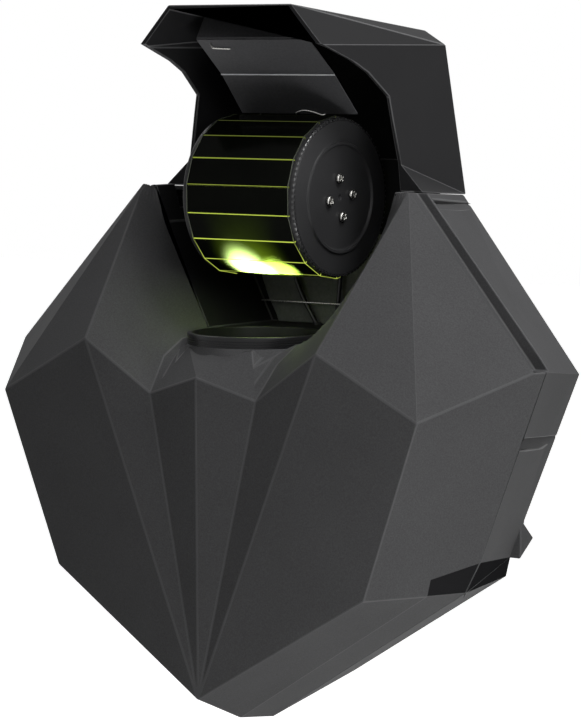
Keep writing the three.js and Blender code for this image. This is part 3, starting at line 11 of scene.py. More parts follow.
import bmesh
import bpy
import numpy as np
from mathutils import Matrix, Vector

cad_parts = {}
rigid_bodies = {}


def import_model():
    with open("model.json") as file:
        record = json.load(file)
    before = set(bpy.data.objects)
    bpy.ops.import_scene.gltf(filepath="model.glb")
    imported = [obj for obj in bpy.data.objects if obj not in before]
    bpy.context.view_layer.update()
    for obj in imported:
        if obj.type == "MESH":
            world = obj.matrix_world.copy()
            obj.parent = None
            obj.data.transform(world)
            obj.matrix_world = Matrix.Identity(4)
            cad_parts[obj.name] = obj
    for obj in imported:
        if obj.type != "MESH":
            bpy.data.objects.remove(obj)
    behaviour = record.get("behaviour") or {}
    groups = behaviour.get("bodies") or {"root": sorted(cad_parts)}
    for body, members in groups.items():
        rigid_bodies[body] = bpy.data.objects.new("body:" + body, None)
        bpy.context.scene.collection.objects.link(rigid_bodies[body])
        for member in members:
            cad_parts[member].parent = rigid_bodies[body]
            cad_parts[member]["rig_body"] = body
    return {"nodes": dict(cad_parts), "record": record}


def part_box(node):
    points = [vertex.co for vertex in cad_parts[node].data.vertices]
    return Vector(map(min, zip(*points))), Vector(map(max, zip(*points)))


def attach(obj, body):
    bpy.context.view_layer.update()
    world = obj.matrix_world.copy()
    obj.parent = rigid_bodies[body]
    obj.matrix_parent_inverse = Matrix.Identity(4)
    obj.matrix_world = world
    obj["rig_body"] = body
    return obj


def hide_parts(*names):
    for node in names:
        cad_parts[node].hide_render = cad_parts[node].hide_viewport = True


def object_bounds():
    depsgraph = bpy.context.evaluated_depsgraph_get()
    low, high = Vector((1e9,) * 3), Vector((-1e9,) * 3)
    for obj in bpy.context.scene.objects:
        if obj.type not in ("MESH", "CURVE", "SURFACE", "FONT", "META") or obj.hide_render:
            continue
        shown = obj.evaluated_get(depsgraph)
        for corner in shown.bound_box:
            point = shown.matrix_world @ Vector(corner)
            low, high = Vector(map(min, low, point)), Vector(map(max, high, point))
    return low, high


bl_info = {
    "name": "LED barrel effect light",
    "version": (1, 0, 0),
    "blender": (4, 5, 0),
    "location": "3D View > Sidebar > Effect Light",
    "description": "Dresses the packed model of a hanging effect light with a turning mirror barrel",
    "category": "Mesh",
}

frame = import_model()
CAD_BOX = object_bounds()
NODES = frame["nodes"]
MM = 0.001


# Colours and materials


def linear(code):
    """sRGB hex to linear: c / 12.92 below 0.04045, else ((c + 0.055) / 1.055) to the power 2.4."""
    channels = [int(code[i : i + 2], 16) / 255 for i in (1, 3, 5)]
    return tuple(c / 12.92 if c < 0.04045 else ((c + 0.055) / 1.055) ** 2.4 for c in channels)


def rgba(code):
    """sRGB hex to linear red, green and blue, with an opaque alpha."""
    return (*linear(code), 1.0)


def add_node(tree, kind, inputs=None, **settings):
    """Adds a shader node. settings are its own values; inputs are values of sockets, or sockets to link."""
    made = tree.nodes.new("ShaderNode" + kind)
    for key, value in settings.items():
        setattr(made, key, value)
    for key, value in (inputs or {}).items():
        if isinstance(value, bpy.types.NodeSocket):
            tree.links.new(value, made.inputs[key])
        else:
            made.inputs[key].default_value = value
    return made


def new_material(name, **shader):
    """A material with a Principled shader on its output. shader gives socket values by name."""
    made = bpy.data.materials.new(name)
    made.use_nodes = True
    tree = made.node_tree
    tree.nodes.clear()
    inputs = {key.replace("_", " "): value for key, value in shader.items()}
    surface = add_node(tree, "BsdfPrincipled", inputs)
    add_node(tree, "OutputMaterial", {"Surface": surface.outputs[0]})
    return made, tree, surface


def object_place(tree):
    """Object coordinates."""
    return add_node(tree, "TexCoord").outputs["Object"]


def noise(tree, place, scale, detail):
    """Random values from 0 to 1, that change from place to place."""
    return add_node(tree, "TexNoise", {"Vector": place, "Scale": scale, "Detail": detail}).outputs[0]


def math_node(tree, operation, first, second):
    """The result of an operation on two values or sockets."""
    return add_node(tree, "Math", {0: first, 1: second}, operation=operation).outputs[0]


def two_tone(tree, factor, dark, light):
    """A colour that runs from dark to light with a factor."""
    mix = add_node(tree, "Mix", {"Factor": factor}, data_type="RGBA")
    mix.inputs[6].default_value = rgba(dark)
    mix.inputs[7].default_value = rgba(light)
    return mix.outputs[2]


def spread(tree, value, low, high):
    """A value from 0 to 1, spread from low to high."""
    return add_node(tree, "MapRange", {"Value": value, "To Min": low, "To Max": high}).outputs[0]


def link_surface(tree, surface, colour, roughness, height, depth, strength):
    """Links a colour, a roughness, and a bump of the given depth in metres, to the shader."""
    bump = add_node(tree, "Bump", {"Height": height, "Distance": depth, "Strength": strength})
    tree.links.new(colour, surface.inputs["Base Color"])
    tree.links.new(roughness, surface.inputs["Roughness"])
    tree.links.new(bump.outputs[0], surface.inputs["Normal"])


def grained(name, dark, light, roughness, grain, depth, **shader):
    """A surface with a fine random grain of a real size in metres. Colour runs between dark and light in
    large soft patches, roughness varies a little, and the grain is a bump of the given depth."""
    made, tree, surface = new_material(name, **shader)
    place = object_place(tree)
    patches = noise(tree, place, 22.0, 3.0)
    fine = noise(tree, place, 1 / grain, 2.0)
    speckle = add_node(tree, "Mix", {"Factor": 0.3}, data_type="RGBA", blend_type="OVERLAY")
    tree.links.new(two_tone(tree, patches, dark, light), speckle.inputs[6])
    tree.links.new(fine, speckle.inputs[7])
    vary = 0.06
    rough = spread(tree, fine, roughness - vary, roughness + vary)
    link_surface(tree, surface, speckle.outputs[2], rough, fine, depth, 0.6)
    return made


def brushed(name, dark, light, roughness, spacing, stretch, depth):
    """A metal with fine parallel scratches: noise drawn out along one axis, with the given spacing."""
    made, tree, surface = new_material(name, Metallic=1.0)
    drawn = add_node(tree, "Mapping", {"Vector": object_place(tree), "Scale": stretch})
    lines = noise(tree, drawn.outputs[0], 1 / spacing, 4.0)
    vary = 0.08
    rough = spread(tree, lines, roughness - vary, roughness + vary)
    link_surface(tree, surface, two_tone(tree, lines, dark, light), rough, lines, depth, 0.4)
    return made


# ABS: name, dark and light colour, roughness, share of the grain size, depth of the grain in mm, shine
PLASTICS = {
    # From a spark-eroded mould: matt, with a sandy grain. The real grain is 0.3 mm, drawn coarser to show.
    "moulded_abs": ("moulded_abs_sand_grain", "#434344", "#4b4b4c", 0.75, 1, 0.11, 0.05),
    # On the ridges: paler, with a finer grain and more shine. The paler colour paints a highlight along
    # every ridge
    "ridge_highlight_abs": ("moulded_abs_painted_ridge_highlight", "#474748", "#515152", 0.5, 0.5, 0.01, 0.1),
    # From a polished mould, on the hood and the tray: darker and smoother, with a very fine grain
    "hood_abs": ("moulded_abs_fine", "#1e1e1f", "#232324", 0.5, 0.5, 0.02, 0.04),
    # Satin, on round mouldings
    "satin_abs": ("moulded_abs_satin", "#2c2c2d", "#343435", 0.36, 0.5, 0.02, 0.12),
    # Polished, on the toothed rim of the barrel's cap, which glints
    "polished_abs": ("moulded_abs_polished", "#242425", "#2a2a2b", 0.24, 0.5, 0.006, 0.5),
    # Glossy and very dark, on the lens ring
    "gloss_abs": ("moulded_abs_gloss", "#19191a", "#1f1f20", 0.33, 0.5, 0.01, 0.18),
    # Matt, dark and fine, on the strip along the foot of each side: painted shade of a recess that is not
    # modelled
    "foot_shade_abs": ("moulded_abs_painted_foot_shade", "#1d1d1e", "#232324", 0.8, 0.5, 0.03, 0.0),
}
# Others: name, dark and light colour, roughness, size and depth of the grain in mm, the shader's values
COATS = {
    # Steel sheet under powder coat: slight orange peel
    "powder_coat": (
        "powder_coated_steel_black", "#1c1c1d", "#232324", 0.42, 1.4, 0.04,
        {"IOR": 1.5, "Specular_IOR_Level": 0.15},
    ),
    "baked_coat": (
        "powder_coated_steel_grey", "#454547", "#4d4d4f", 0.5, 1.4, 0.03,
        {"IOR": 1.5, "Specular_IOR_Level": 0.1},
    ),
    # Near white, for the baffle's bend: a painted highlight along the bent edge
    "worn_steel": ("painted_bend_highlight", "#c4c5c7", "#e2e3e4", 0.4, 1.0, 0.01, {}),
    # The plate behind the barrel: a pale grey sheet, whose colour paints the light on the bay's back wall
    "primed_sheet": ("grey_sheet_painted_light", "#77797a", "#848687", 0.55, 1.6, 0.02, {"IOR": 1.45}),
    # Zinc-coated steel sheet, grey with faint spangle
    "zinc_sheet": ("zinc_coated_sheet", "#8c8e8f", "#9c9e9f", 0.42, 3.0, 0.01, {"Metallic": 0.9}),
    "black_steel": ("blackened_steel", "#2b2b2c", "#373738", 0.4, 1.2, 0.01, {"Metallic": 0.9}),
    "pvc": ("pvc_cable_sheath", "#0e0e0f", "#151516", 0.42, 0.8, 0.01, {}),
    "rubber": ("moulded_rubber", "#1c1c1d", "#242425", 0.62, 0.6, 0.02, {}),
    "circuit": ("circuit_board_mask", "#15442a", "#1d5836", 0.35, 2.0, 0.02, {}),
}
MATERIALS = {}


def make_materials(settings):
    """Every finish on the light, each named for what it is and how its surface was made."""
    for key, (name, dark, light, roughness, share, depth, shine) in PLASTICS.items():
        grain = settings.grain_size * share
        MATERIALS[key] = grained(
            name, dark, light, roughness, grain, depth * MM, IOR=1.5, Specular_IOR_Level=shine
        )
    for key, (name, dark, light, roughness, grain, depth, values) in COATS.items():
        MATERIALS[key] = grained(name, dark, light, roughness, grain * MM, depth * MM, **values)
    MATERIALS["nickel"] = brushed(
        "nickel_plated_steel", "#a5a4a0", "#c4c3bf", 0.28, 0.6 * MM, (1.0, 1.0, 1.0), 0.004 * MM
    )
    MATERIALS["aluminium"] = brushed(
        "extruded_aluminium", "#b4b6b8", "#c8cacc", 0.36, 0.7 * MM, (1.0, 0.06, 1.0), 0.01 * MM
    )
    MATERIALS["mirror"] = mirror_face()
    # Painted glow on the mirrors' edges: on the long edges from the barrel's top down, and on the end edges
    # only at its bottom
    MATERIALS["painted_glow_edge"] = painted_glow_edge(settings, "mirror_edge_painted_glow", 168 * MM, 105 * MM, 0.08)
    MATERIALS["glass_end"] = painted_glow_edge(settings, "mirror_end_painted_glow", 98 * MM, 76 * MM, 0.0)
    MATERIALS["lens_glass"] = plain(
        "optical_glass", "#dfeecb", 0.03, Transmission_Weight=0.9,
        Emission_Color=rgba("#c9e83a"), Emission_Strength=settings.lens_glow,
    )
    MATERIALS["led"] = glow("led_phosphor", "#f4f7c0", settings.lens_glow)
    MATERIALS["digit"] = glow("display_segment", "#e8412c", 2.0)
    MATERIALS["dichroic"] = plain("dichroic_colour_glass", "#8fcf2a", 0.06, Transmission_Weight=0.8)
    MATERIALS["display"] = plain(
        "smoked_acrylic_window", "#101214", 0.08, Coat_Weight=0.5, Coat_Roughness=0.05
    )


def plain(name, code, roughness, **shader):
    """A smooth surface of one colour."""
    return new_material(name, Base_Color=rgba(code), Roughness=roughness, **shader)[0]


def glow(name, code, strength):
    """A surface that gives off its own light."""
    return plain(name, code, 0.3, Emission_Color=rgba(code), Emission_Strength=strength)


def mirror_face():
    """Dark coated mirror glass: a thin dim reflection under a haze of dust, so that the beam shows on it."""
    made, tree, surface = new_material("coated_mirror_glass", IOR=1.5, Specular_IOR_Level=0.012)
    dust = noise(tree, object_place(tree), 60.0, 5.0)
    tree.links.new(two_tone(tree, dust, "#080907", "#10120e"), surface.inputs["Base Color"])
    tree.links.new(spread(tree, dust, 0.05, 0.16), surface.inputs["Roughness"])
    return made


def painted_glow_edge(settings, name, top, bottom, least):
    """Ground edge of a mirror strip, with a painted glow in place of the lamp's light on the glass. Its glow
    grows from the least share of the whole at the top height to the whole at the bottom height."""
    made, tree, surface = new_material(
        name, Base_Color=rgba("#2c3220"), Roughness=0.5, Emission_Color=rgba("#d8ec5c")
    )
    height = add_node(tree, "SeparateXYZ", {"Vector": object_place(tree)}).outputs["Z"]
    whole = settings.painted_edge_glow
    values = {"Value": height, "From Min": top, "From Max": bottom, "To Min": least * whole, "To Max": whole}
    fade = add_node(tree, "MapRange", values, interpolation_type="SMOOTHSTEP")
    tree.links.new(fade.outputs[0], surface.inputs["Emission Strength"])
    return made


# Meshes


def linked(name, data):
    """A new object in the scene, with this data."""
    made = bpy.data.objects.new(name, data)
    bpy.context.scene.collection.objects.link(made)
    return made


@contextmanager
def editing(mesh):
    """A bmesh of a mesh, written back to it at the end."""
    work = bmesh.new()
    work.from_mesh(mesh)
    yield work
    work.to_mesh(mesh)
    work.free()


def mesh_object(name, points, faces):
    """An object whose mesh has these points, an (n, 3) array, and faces, an (m, 3 or 4) array."""
    mesh = bpy.data.meshes.new(name)
    faces = np.asarray(faces, np.int32)
    sides = faces.shape[1]
    mesh.vertices.add(len(points))
    mesh.vertices.foreach_set("co", np.asarray(points, np.float32).ravel())
    mesh.loops.add(faces.size)
    mesh.loops.foreach_set("vertex_index", faces.ravel())
    mesh.polygons.add(len(faces))
    mesh.polygons.foreach_set("loop_start", np.arange(0, faces.size, sides, dtype=np.int32))
    mesh.update(calc_edges=True)
    mesh.validate()
    return linked(name, mesh)


def grid_faces(rows, columns):
    """Quads between the points of a grid, row by row. The last column joins the first."""
    i = np.arange(rows - 1)[:, None]
    j = np.arange(columns)[None, :]
    k = (j + 1) % columns
    corners = [i * columns + j, i * columns + k, (i + 1) * columns + k, (i + 1) * columns + j]
    return np.stack([np.broadcast_to(c, np.broadcast(i, j).shape) for c in corners], -1).reshape(-1, 4)


def smooth(made, angle=35):
    """Smooth shading, with edges sharper than the angle in degrees kept crisp."""
    mesh = made.data
    mesh.polygons.foreach_set("use_smooth", np.ones(len(mesh.polygons), bool))
    mesh.set_sharp_from_angle(angle=math.radians(angle))
    return made


def cleaned(made, merge=1e-6):
    """Doubles merged, then faces turned outwards."""
    with editing(made.data) as work:
        bmesh.ops.remove_doubles(work, verts=work.verts, dist=merge)
        bmesh.ops.recalc_face_normals(work, faces=work.faces)
    return made


def full_turn(count):
    """Angles spread evenly over a full circle."""
    return np.linspace(0, 2 * math.pi, count, endpoint=False)


def axis_frame(axis):
    """Two directions across an axis, and the axis: the columns of a right-handed frame."""
    along = np.array(axis, float)
    along /= np.linalg.norm(along)
    helper = np.array([0.0, 0.0, 1.0]) if abs(along[2]) < 0.9 else np.array([0.0, 1.0, 0.0])
    across = np.cross(helper, along)
    across /= np.linalg.norm(across)
    return across, np.cross(along, across), along


def revolved(name, profile, centre, axis=(0, 0, 1), sides=96):
    """A turned body. The profile's points are (radius, height along the axis), turned through a full
    circle: point = centre + radius (cos a, sin a) across the axis + height along it."""
    profile = np.array(profile, float)
    across, up, along = axis_frame(axis)
    turn = full_turn(sides)
    ring = np.cos(turn)[:, None] * across + np.sin(turn)[:, None] * up
    points = profile[:, 0][:, None, None] * ring + profile[:, 1][:, None, None] * along
    points = points.reshape(-1, 3) + np.array(centre, float)
    return smooth(cleaned(mesh_object(name, points, grid_faces(len(profile), sides))))


def rounded_corner(r0, h0, r1, h1, r2, h2, steps=5):
    """Points of a curve from (r0, h0) to (r2, h2) that bends at (r1, h1): a quadratic Bezier."""
    t = np.linspace(0, 1, steps)[:, None]
    a, b, c = (np.array(p, float) for p in ((r0, h0), (r1, h1), (r2, h2)))
    return ((1 - t) ** 2 * a + 2 * t * (1 - t) * b + t**2 * c).tolist()


TUBE_SAMPLES = 12  # between two points of a path


def tube(name, path, radius, sides=12):
    """A round lead along a path: a smooth curve through its points, and at each sample a circle across
    the direction of travel."""
    path = np.array(path, float)
    last = len(path) - 1
    fine = np.linspace(0, last, TUBE_SAMPLES * last + 1)
    base = np.clip(np.floor(fine).astype(int), 0, last - 1)
    u = (fine - base)[:, None]
    p1, p2 = path[base], path[base + 1]
    p0, p3 = path[np.clip(base - 1, 0, last)], path[np.clip(base + 2, 0, last)]
    line = 0.5 * (2 * p1 + (p2 - p0) * u + (2 * p0 - 5 * p1 + 4 * p2 - p3) * u**2)
    line += 0.5 * (3 * p1 - p0 - 3 * p2 + p3) * u**3
    along = np.gradient(line, axis=0)
    along /= np.linalg.norm(along, axis=1, keepdims=True)
    slanted = np.array([0.31, 0.87, 0.38])  # no lead runs this way
    side = np.cross(along, slanted)
    side /= np.linalg.norm(side, axis=1, keepdims=True)
    up = np.cross(along, side)
    turn = full_turn(sides)[None, :, None]
    points = line[:, None] + radius * (np.cos(turn) * side[:, None] + np.sin(turn) * up[:, None])
    ends = np.stack([line[:1].repeat(sides, 0), line[-1:].repeat(sides, 0)])
    points = np.concatenate([ends[:1], points, ends[1:]])
    return smooth(cleaned(mesh_object(name, points.reshape(-1, 3), grid_faces(len(points), sides))))


def prism(name, outline, front, back):
    """A flat plate across Y: an outline of (x, z) points, swept straight from the front to the back."""
    count = len(outline)
    points = np.zeros((2 * count, 3))
    points[:, [0, 2]] = np.tile(outline, (2, 1))
    points[:count, 1] = front
    points[count:, 1] = back
    around = [(i, (i + 1) % count, count + (i + 1) % count, count + i) for i in range(count)]
    mesh = bpy.data.meshes.new(name)
    mesh.from_pydata(points.tolist(), [], [list(range(count)), list(range(count, 2 * count)), *around])
    return smooth(cleaned(linked(name, mesh)), 30)


def dressed(made, body, finish, slot, *replaces):
    """Gives a piece its finish or finishes and its body, and hides the CAD nodes that it stands for. The
    slot is not used.
    """
    for one in [finish] if isinstance(finish, str) else finish:
        made.data.materials.append(MATERIALS[one])
    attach(made, body)
    if replaces:
        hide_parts(*replaces)
    return made


def round_edges(made, width, angle=30, segments=2):
    """Rounds every edge sharper than the angle, and keeps the flat faces flat."""
    bevel = made.modifiers.new("edges", "BEVEL")
    bevel.width = width
    bevel.segments = segments
    bevel.limit_method = "ANGLE"
    bevel.angle_limit = math.radians(angle)
    bevel.harden_normals = True
    bevel.use_clamp_overlap = True
    return made


# A ridge turns by more than the first angle in degrees, or by more than the second where one of its faces
# is small, in square metres, as on a curved flank
RIDGE_ANGLE, CURVED_ANGLE, SMALL_FACE = 7, 25, 3e-4


def round_ridges(made, width):
    """Rounds the ridges of a faceted moulding. A ridge's share of the width is 1, or less where the
    rounding would take up more than 0.3 of an edge that meets it."""
    with editing(made.data) as work:
        work.normal_update()
        layer = work.edges.layers.float.new("bevel_weight_edge")
        for edge in work.edges:
            least = min(face.calc_area() for face in edge.link_faces)
            limit = math.radians(CURVED_ANGLE if least < SMALL_FACE else RIDGE_ANGLE)
            if edge.calc_face_angle(0) < limit:
                continue
            edge.smooth = False
            meeting = [e.calc_length() for v in edge.verts for e in v.link_edges if e is not edge]
            edge[layer] = min(1.0, 0.3 * min(meeting) / width)
    made.data.polygons.foreach_set("use_smooth", np.ones(len(made.data.polygons), bool))
    bevel = made.modifiers.new("ridges", "BEVEL")
    bevel.width = width
    bevel.segments = 3
    bevel.limit_method = "WEIGHT"
    bevel.harden_normals = True
    bevel.use_clamp_overlap = False
    bevel.material = 1  # the ridge finish, whose paler colour paints a highlight
    return made


def joined_copy(node, name):
    """A copy of a CAD node. Its doubles are merged, and facets that turn by less than 0.6 degrees from
    each other become one face."""
    mesh = NODES[node].data.copy()
    mesh.name = name
    mesh.materials.clear()
    with editing(mesh) as work:
        bmesh.ops.remove_doubles(work, verts=work.verts, dist=2e-6)
        flat = math.radians(0.6)
        bmesh.ops.dissolve_limit(work, angle_limit=flat, verts=work.verts, edges=work.edges)
    return smooth(linked(name, mesh))


def body_of(node):
    """The CAD body that a node belongs to."""
    return NODES[node]["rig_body"]


def slot_of(node):
    """The material slot that the record gives a node."""
    rows = {row["node"]: row["material_slot"] for row in frame["record"]["subparts"]}
    return rows[node]


def rounded_node(node, name, finish, width):
    """A CAD node with its edges rounded, which stands for it."""
    made = round_edges(joined_copy(node, name), width)
    return dressed(made, body_of(node), finish, slot_of(node), node)


def middle(node):
    """The middle of a CAD node's box."""
    low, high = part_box(node)
    return (low + high) / 2


# Settings


def number(name, default, description, unit="NONE"):
    """A setting that is a number, in metres or watts where it has a unit."""
    return bpy.props.FloatProperty(name=name, description=description, default=default, unit=unit)


class EffectLightSettings(bpy.types.PropertyGroup):
    """Sizes and colours of the effect light that a user would change."""

    edge_round: number("Edge rounding", 0.9 * MM, "Radius at the ridges of the shells", "LENGTH")
    sheet_round: number("Sheet edge rounding", 0.5 * MM, "Radius at the edges of the sheet metal", "LENGTH")
    grain_size: number("Grain size", 0.9 * MM, "Size of the sandy grain on the plastic shells", "LENGTH")
    painted_edge_glow: number("Mirror edge glow", 0.75, "How brightly the mirrors' edges shine")
    lens_glow: number("Lens glow", 0.02, "How brightly the lens shines")
    beam_power: number("Beam power", 60.0, "Power of the beam from the lens to the barrel", "POWER")
    beam_colour: bpy.props.FloatVectorProperty(
        name="Beam colour", description="Colour of the beam", default=linear("#cdf03c"), subtype="COLOR"
    )
    key_power: number("Main lamp", 10.3, "Power of the studio's strongest lamp", "POWER")


def settings_of(context):
    """The light's settings."""
    return context.scene.effect_light


# Stage


def seen_directly(tree):
    """1 for what the camera sees, straight or in a reflection or through glass, and 0 for diffuse light."""
    rays = add_node(tree, "LightPath").outputs
    shiny = math_node(tree, "MAXIMUM", rays["Is Glossy Ray"], rays["Is Transmission Ray"])
    return math_node(tree, "MAXIMUM", rays["Is Camera Ray"], shiny)


def turned_to(place, target):
    """The rotation that points an object's -Z from a place to a target."""
    return (Vector(target) - Vector(place)).to_track_quat("-Z", "Y").to_euler()


def lamp_object(name, kind, power, place, target):
    """A lamp of a kind at a place, turned towards a target."""
    data = bpy.data.lights.new(name, kind)
    data.energy = power
    lamp = linked(name, data)
    lamp.location = place
    lamp.rotation_euler = turned_to(place, target)
    return lamp


WHITE = (1.0, 1.0, 1.0, 1.0)
# The camera, as solved from mirrored corners of the body
CAMERA_PLACE = (1.1751, -1.7148, 0.2047)
CAMERA_TARGET = (0, -0.13838, 0.01542)
FOCAL_LENGTH, SENSOR_WIDTH = 160, 36  # mm
# Name, azimuth and height in degrees, distance in metres, and share of the main lamp's power
LAMPS = [
    ("right_top", 0, 58, 1.2, 1.0),
    ("back_top", 150, 58, 1.2, 0.77),
    ("right", -30, 28, 0.85, 0.19),
    ("front", -60, 28, 0.85, 0.065),
    ("low", -30, -35, 0.85, 0.56),
]
LAMP_SIZE = 0.45
FLOOR_GLOW = 0.95  # the share of white that the floor gives off, for what sees it directly
LAMP_TARGET = Vector((0, -0.12, 0.02))


class EFFECTLIGHT_OT_stage(bpy.types.Operator):
    """Makes the camera, the pale floor, the world and the studio lamps"""

    bl_idname = "effect_light.stage"
    bl_label = "Stage"

    def execute(self, context):
        settings = settings_of(context)
        scene = context.scene
        scene.view_settings.view_transform = "Standard"
        data = bpy.data.cameras.new("camera")
        data.lens = FOCAL_LENGTH
        data.sensor_width = SENSOR_WIDTH
        data.clip_start = 0.1
        data.clip_end = 50
        camera = linked("camera", data)
        camera.location = CAMERA_PLACE
        camera.rotation_euler = turned_to(CAMERA_PLACE, CAMERA_TARGET)
        scene.camera = camera
        self.make_world(scene)
        self.make_floor()
        self.make_lamps(settings.key_power)
        return {"FINISHED"}

    def make_lamps(self, key):
        """Soft lamps close to the object: from above at the right and the back, low, and faint in front."""
        for name, azimuth, height, distance, share in LAMPS:
            turn, lift = math.radians(azimuth), math.radians(height)
            way = Vector((math.cos(turn) * math.cos(lift), math.sin(turn) * math.cos(lift), math.sin(lift)))
            lamp = lamp_object(name, "AREA", key * share, LAMP_TARGET + way * distance, LAMP_TARGET)
            lamp.data.size = LAMP_SIZE

    def make_world(self, scene):
        """White surroundings for what the camera sees, straight or in shiny and clear pieces. They give no
        diffuse light."""
        world = bpy.data.worlds.new("studio")
        scene.world = world
        world.use_nodes = True
        tree = world.node_tree
        tree.nodes.clear()
        white = add_node(tree, "Background", {"Color": WHITE, "Strength": seen_directly(tree)})
        add_node(tree, "OutputWorld", {"Surface": white.outputs[0]})

    def make_floor(self):
        """A wide pale floor under the light. A glow of its own, for what sees it directly, lifts it to
        white and leaves the object's shadow on it."""
        half, low = 6.0, CAD_BOX[0].z - 0.25
        corners = [(-half, -half, low), (half, -half, low), (half, half, low), (-half, half, low)]
        floor = mesh_object("floor", corners, [[0, 1, 2, 3]])
        made, tree, surface = new_material("pale_floor", Base_Color=rgba("#e6e6e4"), Roughness=0.9)
        lift = math_node(tree, "MULTIPLY", seen_directly(tree), FLOOR_GLOW)
        glow_of_floor = add_node(tree, "Emission", {"Color": WHITE, "Strength": lift})
        both = add_node(tree, "AddShader", {0: surface.outputs[0], 1: glow_of_floor.outputs[0]})
        output = next(n for n in tree.nodes if n.bl_idname == "ShaderNodeOutputMaterial")
        tree.links.new(both.outputs[0], output.inputs["Surface"])
        floor.data.materials.append(made)


# Finishes


SLOT_FINISHES = {
    "black_plastic": "moulded_abs",
    "soft_black": "satin_abs",
    "black_sheet": "powder_coat",
    "grey_sheet": "zinc_sheet",
    "mirror": "mirror",
    "steel": "nickel",
    "dark_steel": "black_steel",
    "aluminium": "aluminium",
    "clear_glass": "lens_glass",
    "circuit": "circuit",
    "led_cover": "led",
    "colour_glass": "dichroic",
    "display_glass": "display",
    "button_plastic": "rubber",
}


class EFFECTLIGHT_OT_finishes(bpy.types.Operator):
    """Makes the finishes and gives every carried-over CAD node its own"""

    bl_idname = "effect_light.finishes"
    bl_label = "Finishes"

    def execute(self, context):
        make_materials(settings_of(context))
        for node, carried in NODES.items():
            carried.data.materials.clear()
            carried.data.materials.append(MATERIALS[SLOT_FINISHES[slot_of(node)]])
        return {"FINISHED"}


# Strip along the foot of each side, painted dark as shade: lowest, highest and least distance from the
# middle
FOOT_LOW, FOOT_HIGH, FOOT_INNER = -119 * MM, -92 * MM, 100 * MM


class EFFECTLIGHT_OT_shells(bpy.types.Operator):
    """Makes the two shells, the hood and the bay's tray with rounded ridges, a painted highlight on the
    ridges and a moulded grain
    """

    bl_idname = "effect_light.shells"
    bl_label = "Shells and hood"

    def execute(self, context):
        width = settings_of(context).edge_round
        finishes = {
            "front_shell": ("moulded_abs", "ridge_highlight_abs", "foot_shade_abs"),
            "rear_shell": ("moulded_abs", "ridge_highlight_abs", "foot_shade_abs"),
            "hood": ("hood_abs", "ridge_highlight_abs"),
            "bay_tray": ("hood_abs", "ridge_highlight_abs"),
        }
        for node, coats in finishes.items():
            made = round_ridges(joined_copy(node, node + "_moulding"), width)
            if "foot_shade_abs" in coats:
                self.paint_foot_shade(made, coats.index("foot_shade_abs"))
            dressed(made, body_of(node), coats, slot_of(node), node)
        return {"FINISHED"}

    def paint_foot_shade(self, made, coat):
        """Gives the faces of the strip along the foot of each side the dark finish that paints shade on
        them.
        """
        for face in made.data.polygons:
            corners = [made.data.vertices[v].co for v in face.vertices]
            inside = all(FOOT_LOW < c.z < FOOT_HIGH and abs(c.x) > FOOT_INNER for c in corners)
            if inside and abs(face.normal.x) > 0.3:
                face.material_index = coat


class EFFECTLIGHT_OT_sheet_metal(bpy.types.Operator):
    """Makes the folded and cut sheet pieces with rounded edges"""

    bl_idname = "effect_light.sheet_metal"
    bl_label = "Sheet metal"

    def execute(self, context):
        width = settings_of(context).sheet_round
        for node in ("motor_bracket", "back_panel", "hanging_bracket"):
            rounded_node(node, node + "_sheet", "powder_coat", width)
        self.make_baffle()
        rounded_node("optics_frame", "optics_frame_sheet", "zinc_sheet", width)
        rounded_node("safety_eye", "safety_eye_plate", "black_steel", width)
        return {"FINISHED"}

    def make_baffle(self):
        """One sheet folded across X: rows of (half width, y, z) down its upper face, and the same rows a
        sheet's thickness lower. They are a flange to the hood's roof, the plate, and the lip over the
        barrel."""
        thick = 1.2 * MM
        rows = [(42, -168, 230), (42.5, -177.5, 213.2), (43, -152, 192.2), (44.2, -129.4, 168)]
        rows = np.array(rows) * MM
        x = np.stack([-rows[:, 0], rows[:, 0], rows[:, 0], -rows[:, 0]], 1)
        y = np.repeat(rows[:, 1:2], 4, 1)
        y[0, 2:] += thick
        z = rows[:, 2:3] - np.array([0, 0, thick, thick])
        z[0] = rows[0, 2]
        points = np.stack([x, y, z], -1).reshape(-1, 3)
        ends = [(0, 1, 2, 3), (15, 14, 13, 12)]
        made = cleaned(mesh_object("hood_baffle_sheet", points, [*grid_faces(4, 4), *ends]))
        round_edges(smooth(made, 20), 0.8 * MM, 20, 3)
        dressed(made, "chassis", "baked_coat", "black_sheet", "hood_baffle")
        # A thin bright tube paints the highlight along the bend's outer edge
        side, depth, level = rows[2]
        path = [(-side, depth, level - thick), (side, depth, level - thick)]
        bend = tube("baffle_bend_painted_highlight", path, 0.5 * MM)
        dressed(bend, "chassis", "worn_steel", "black_sheet")


MIRRORS = 18


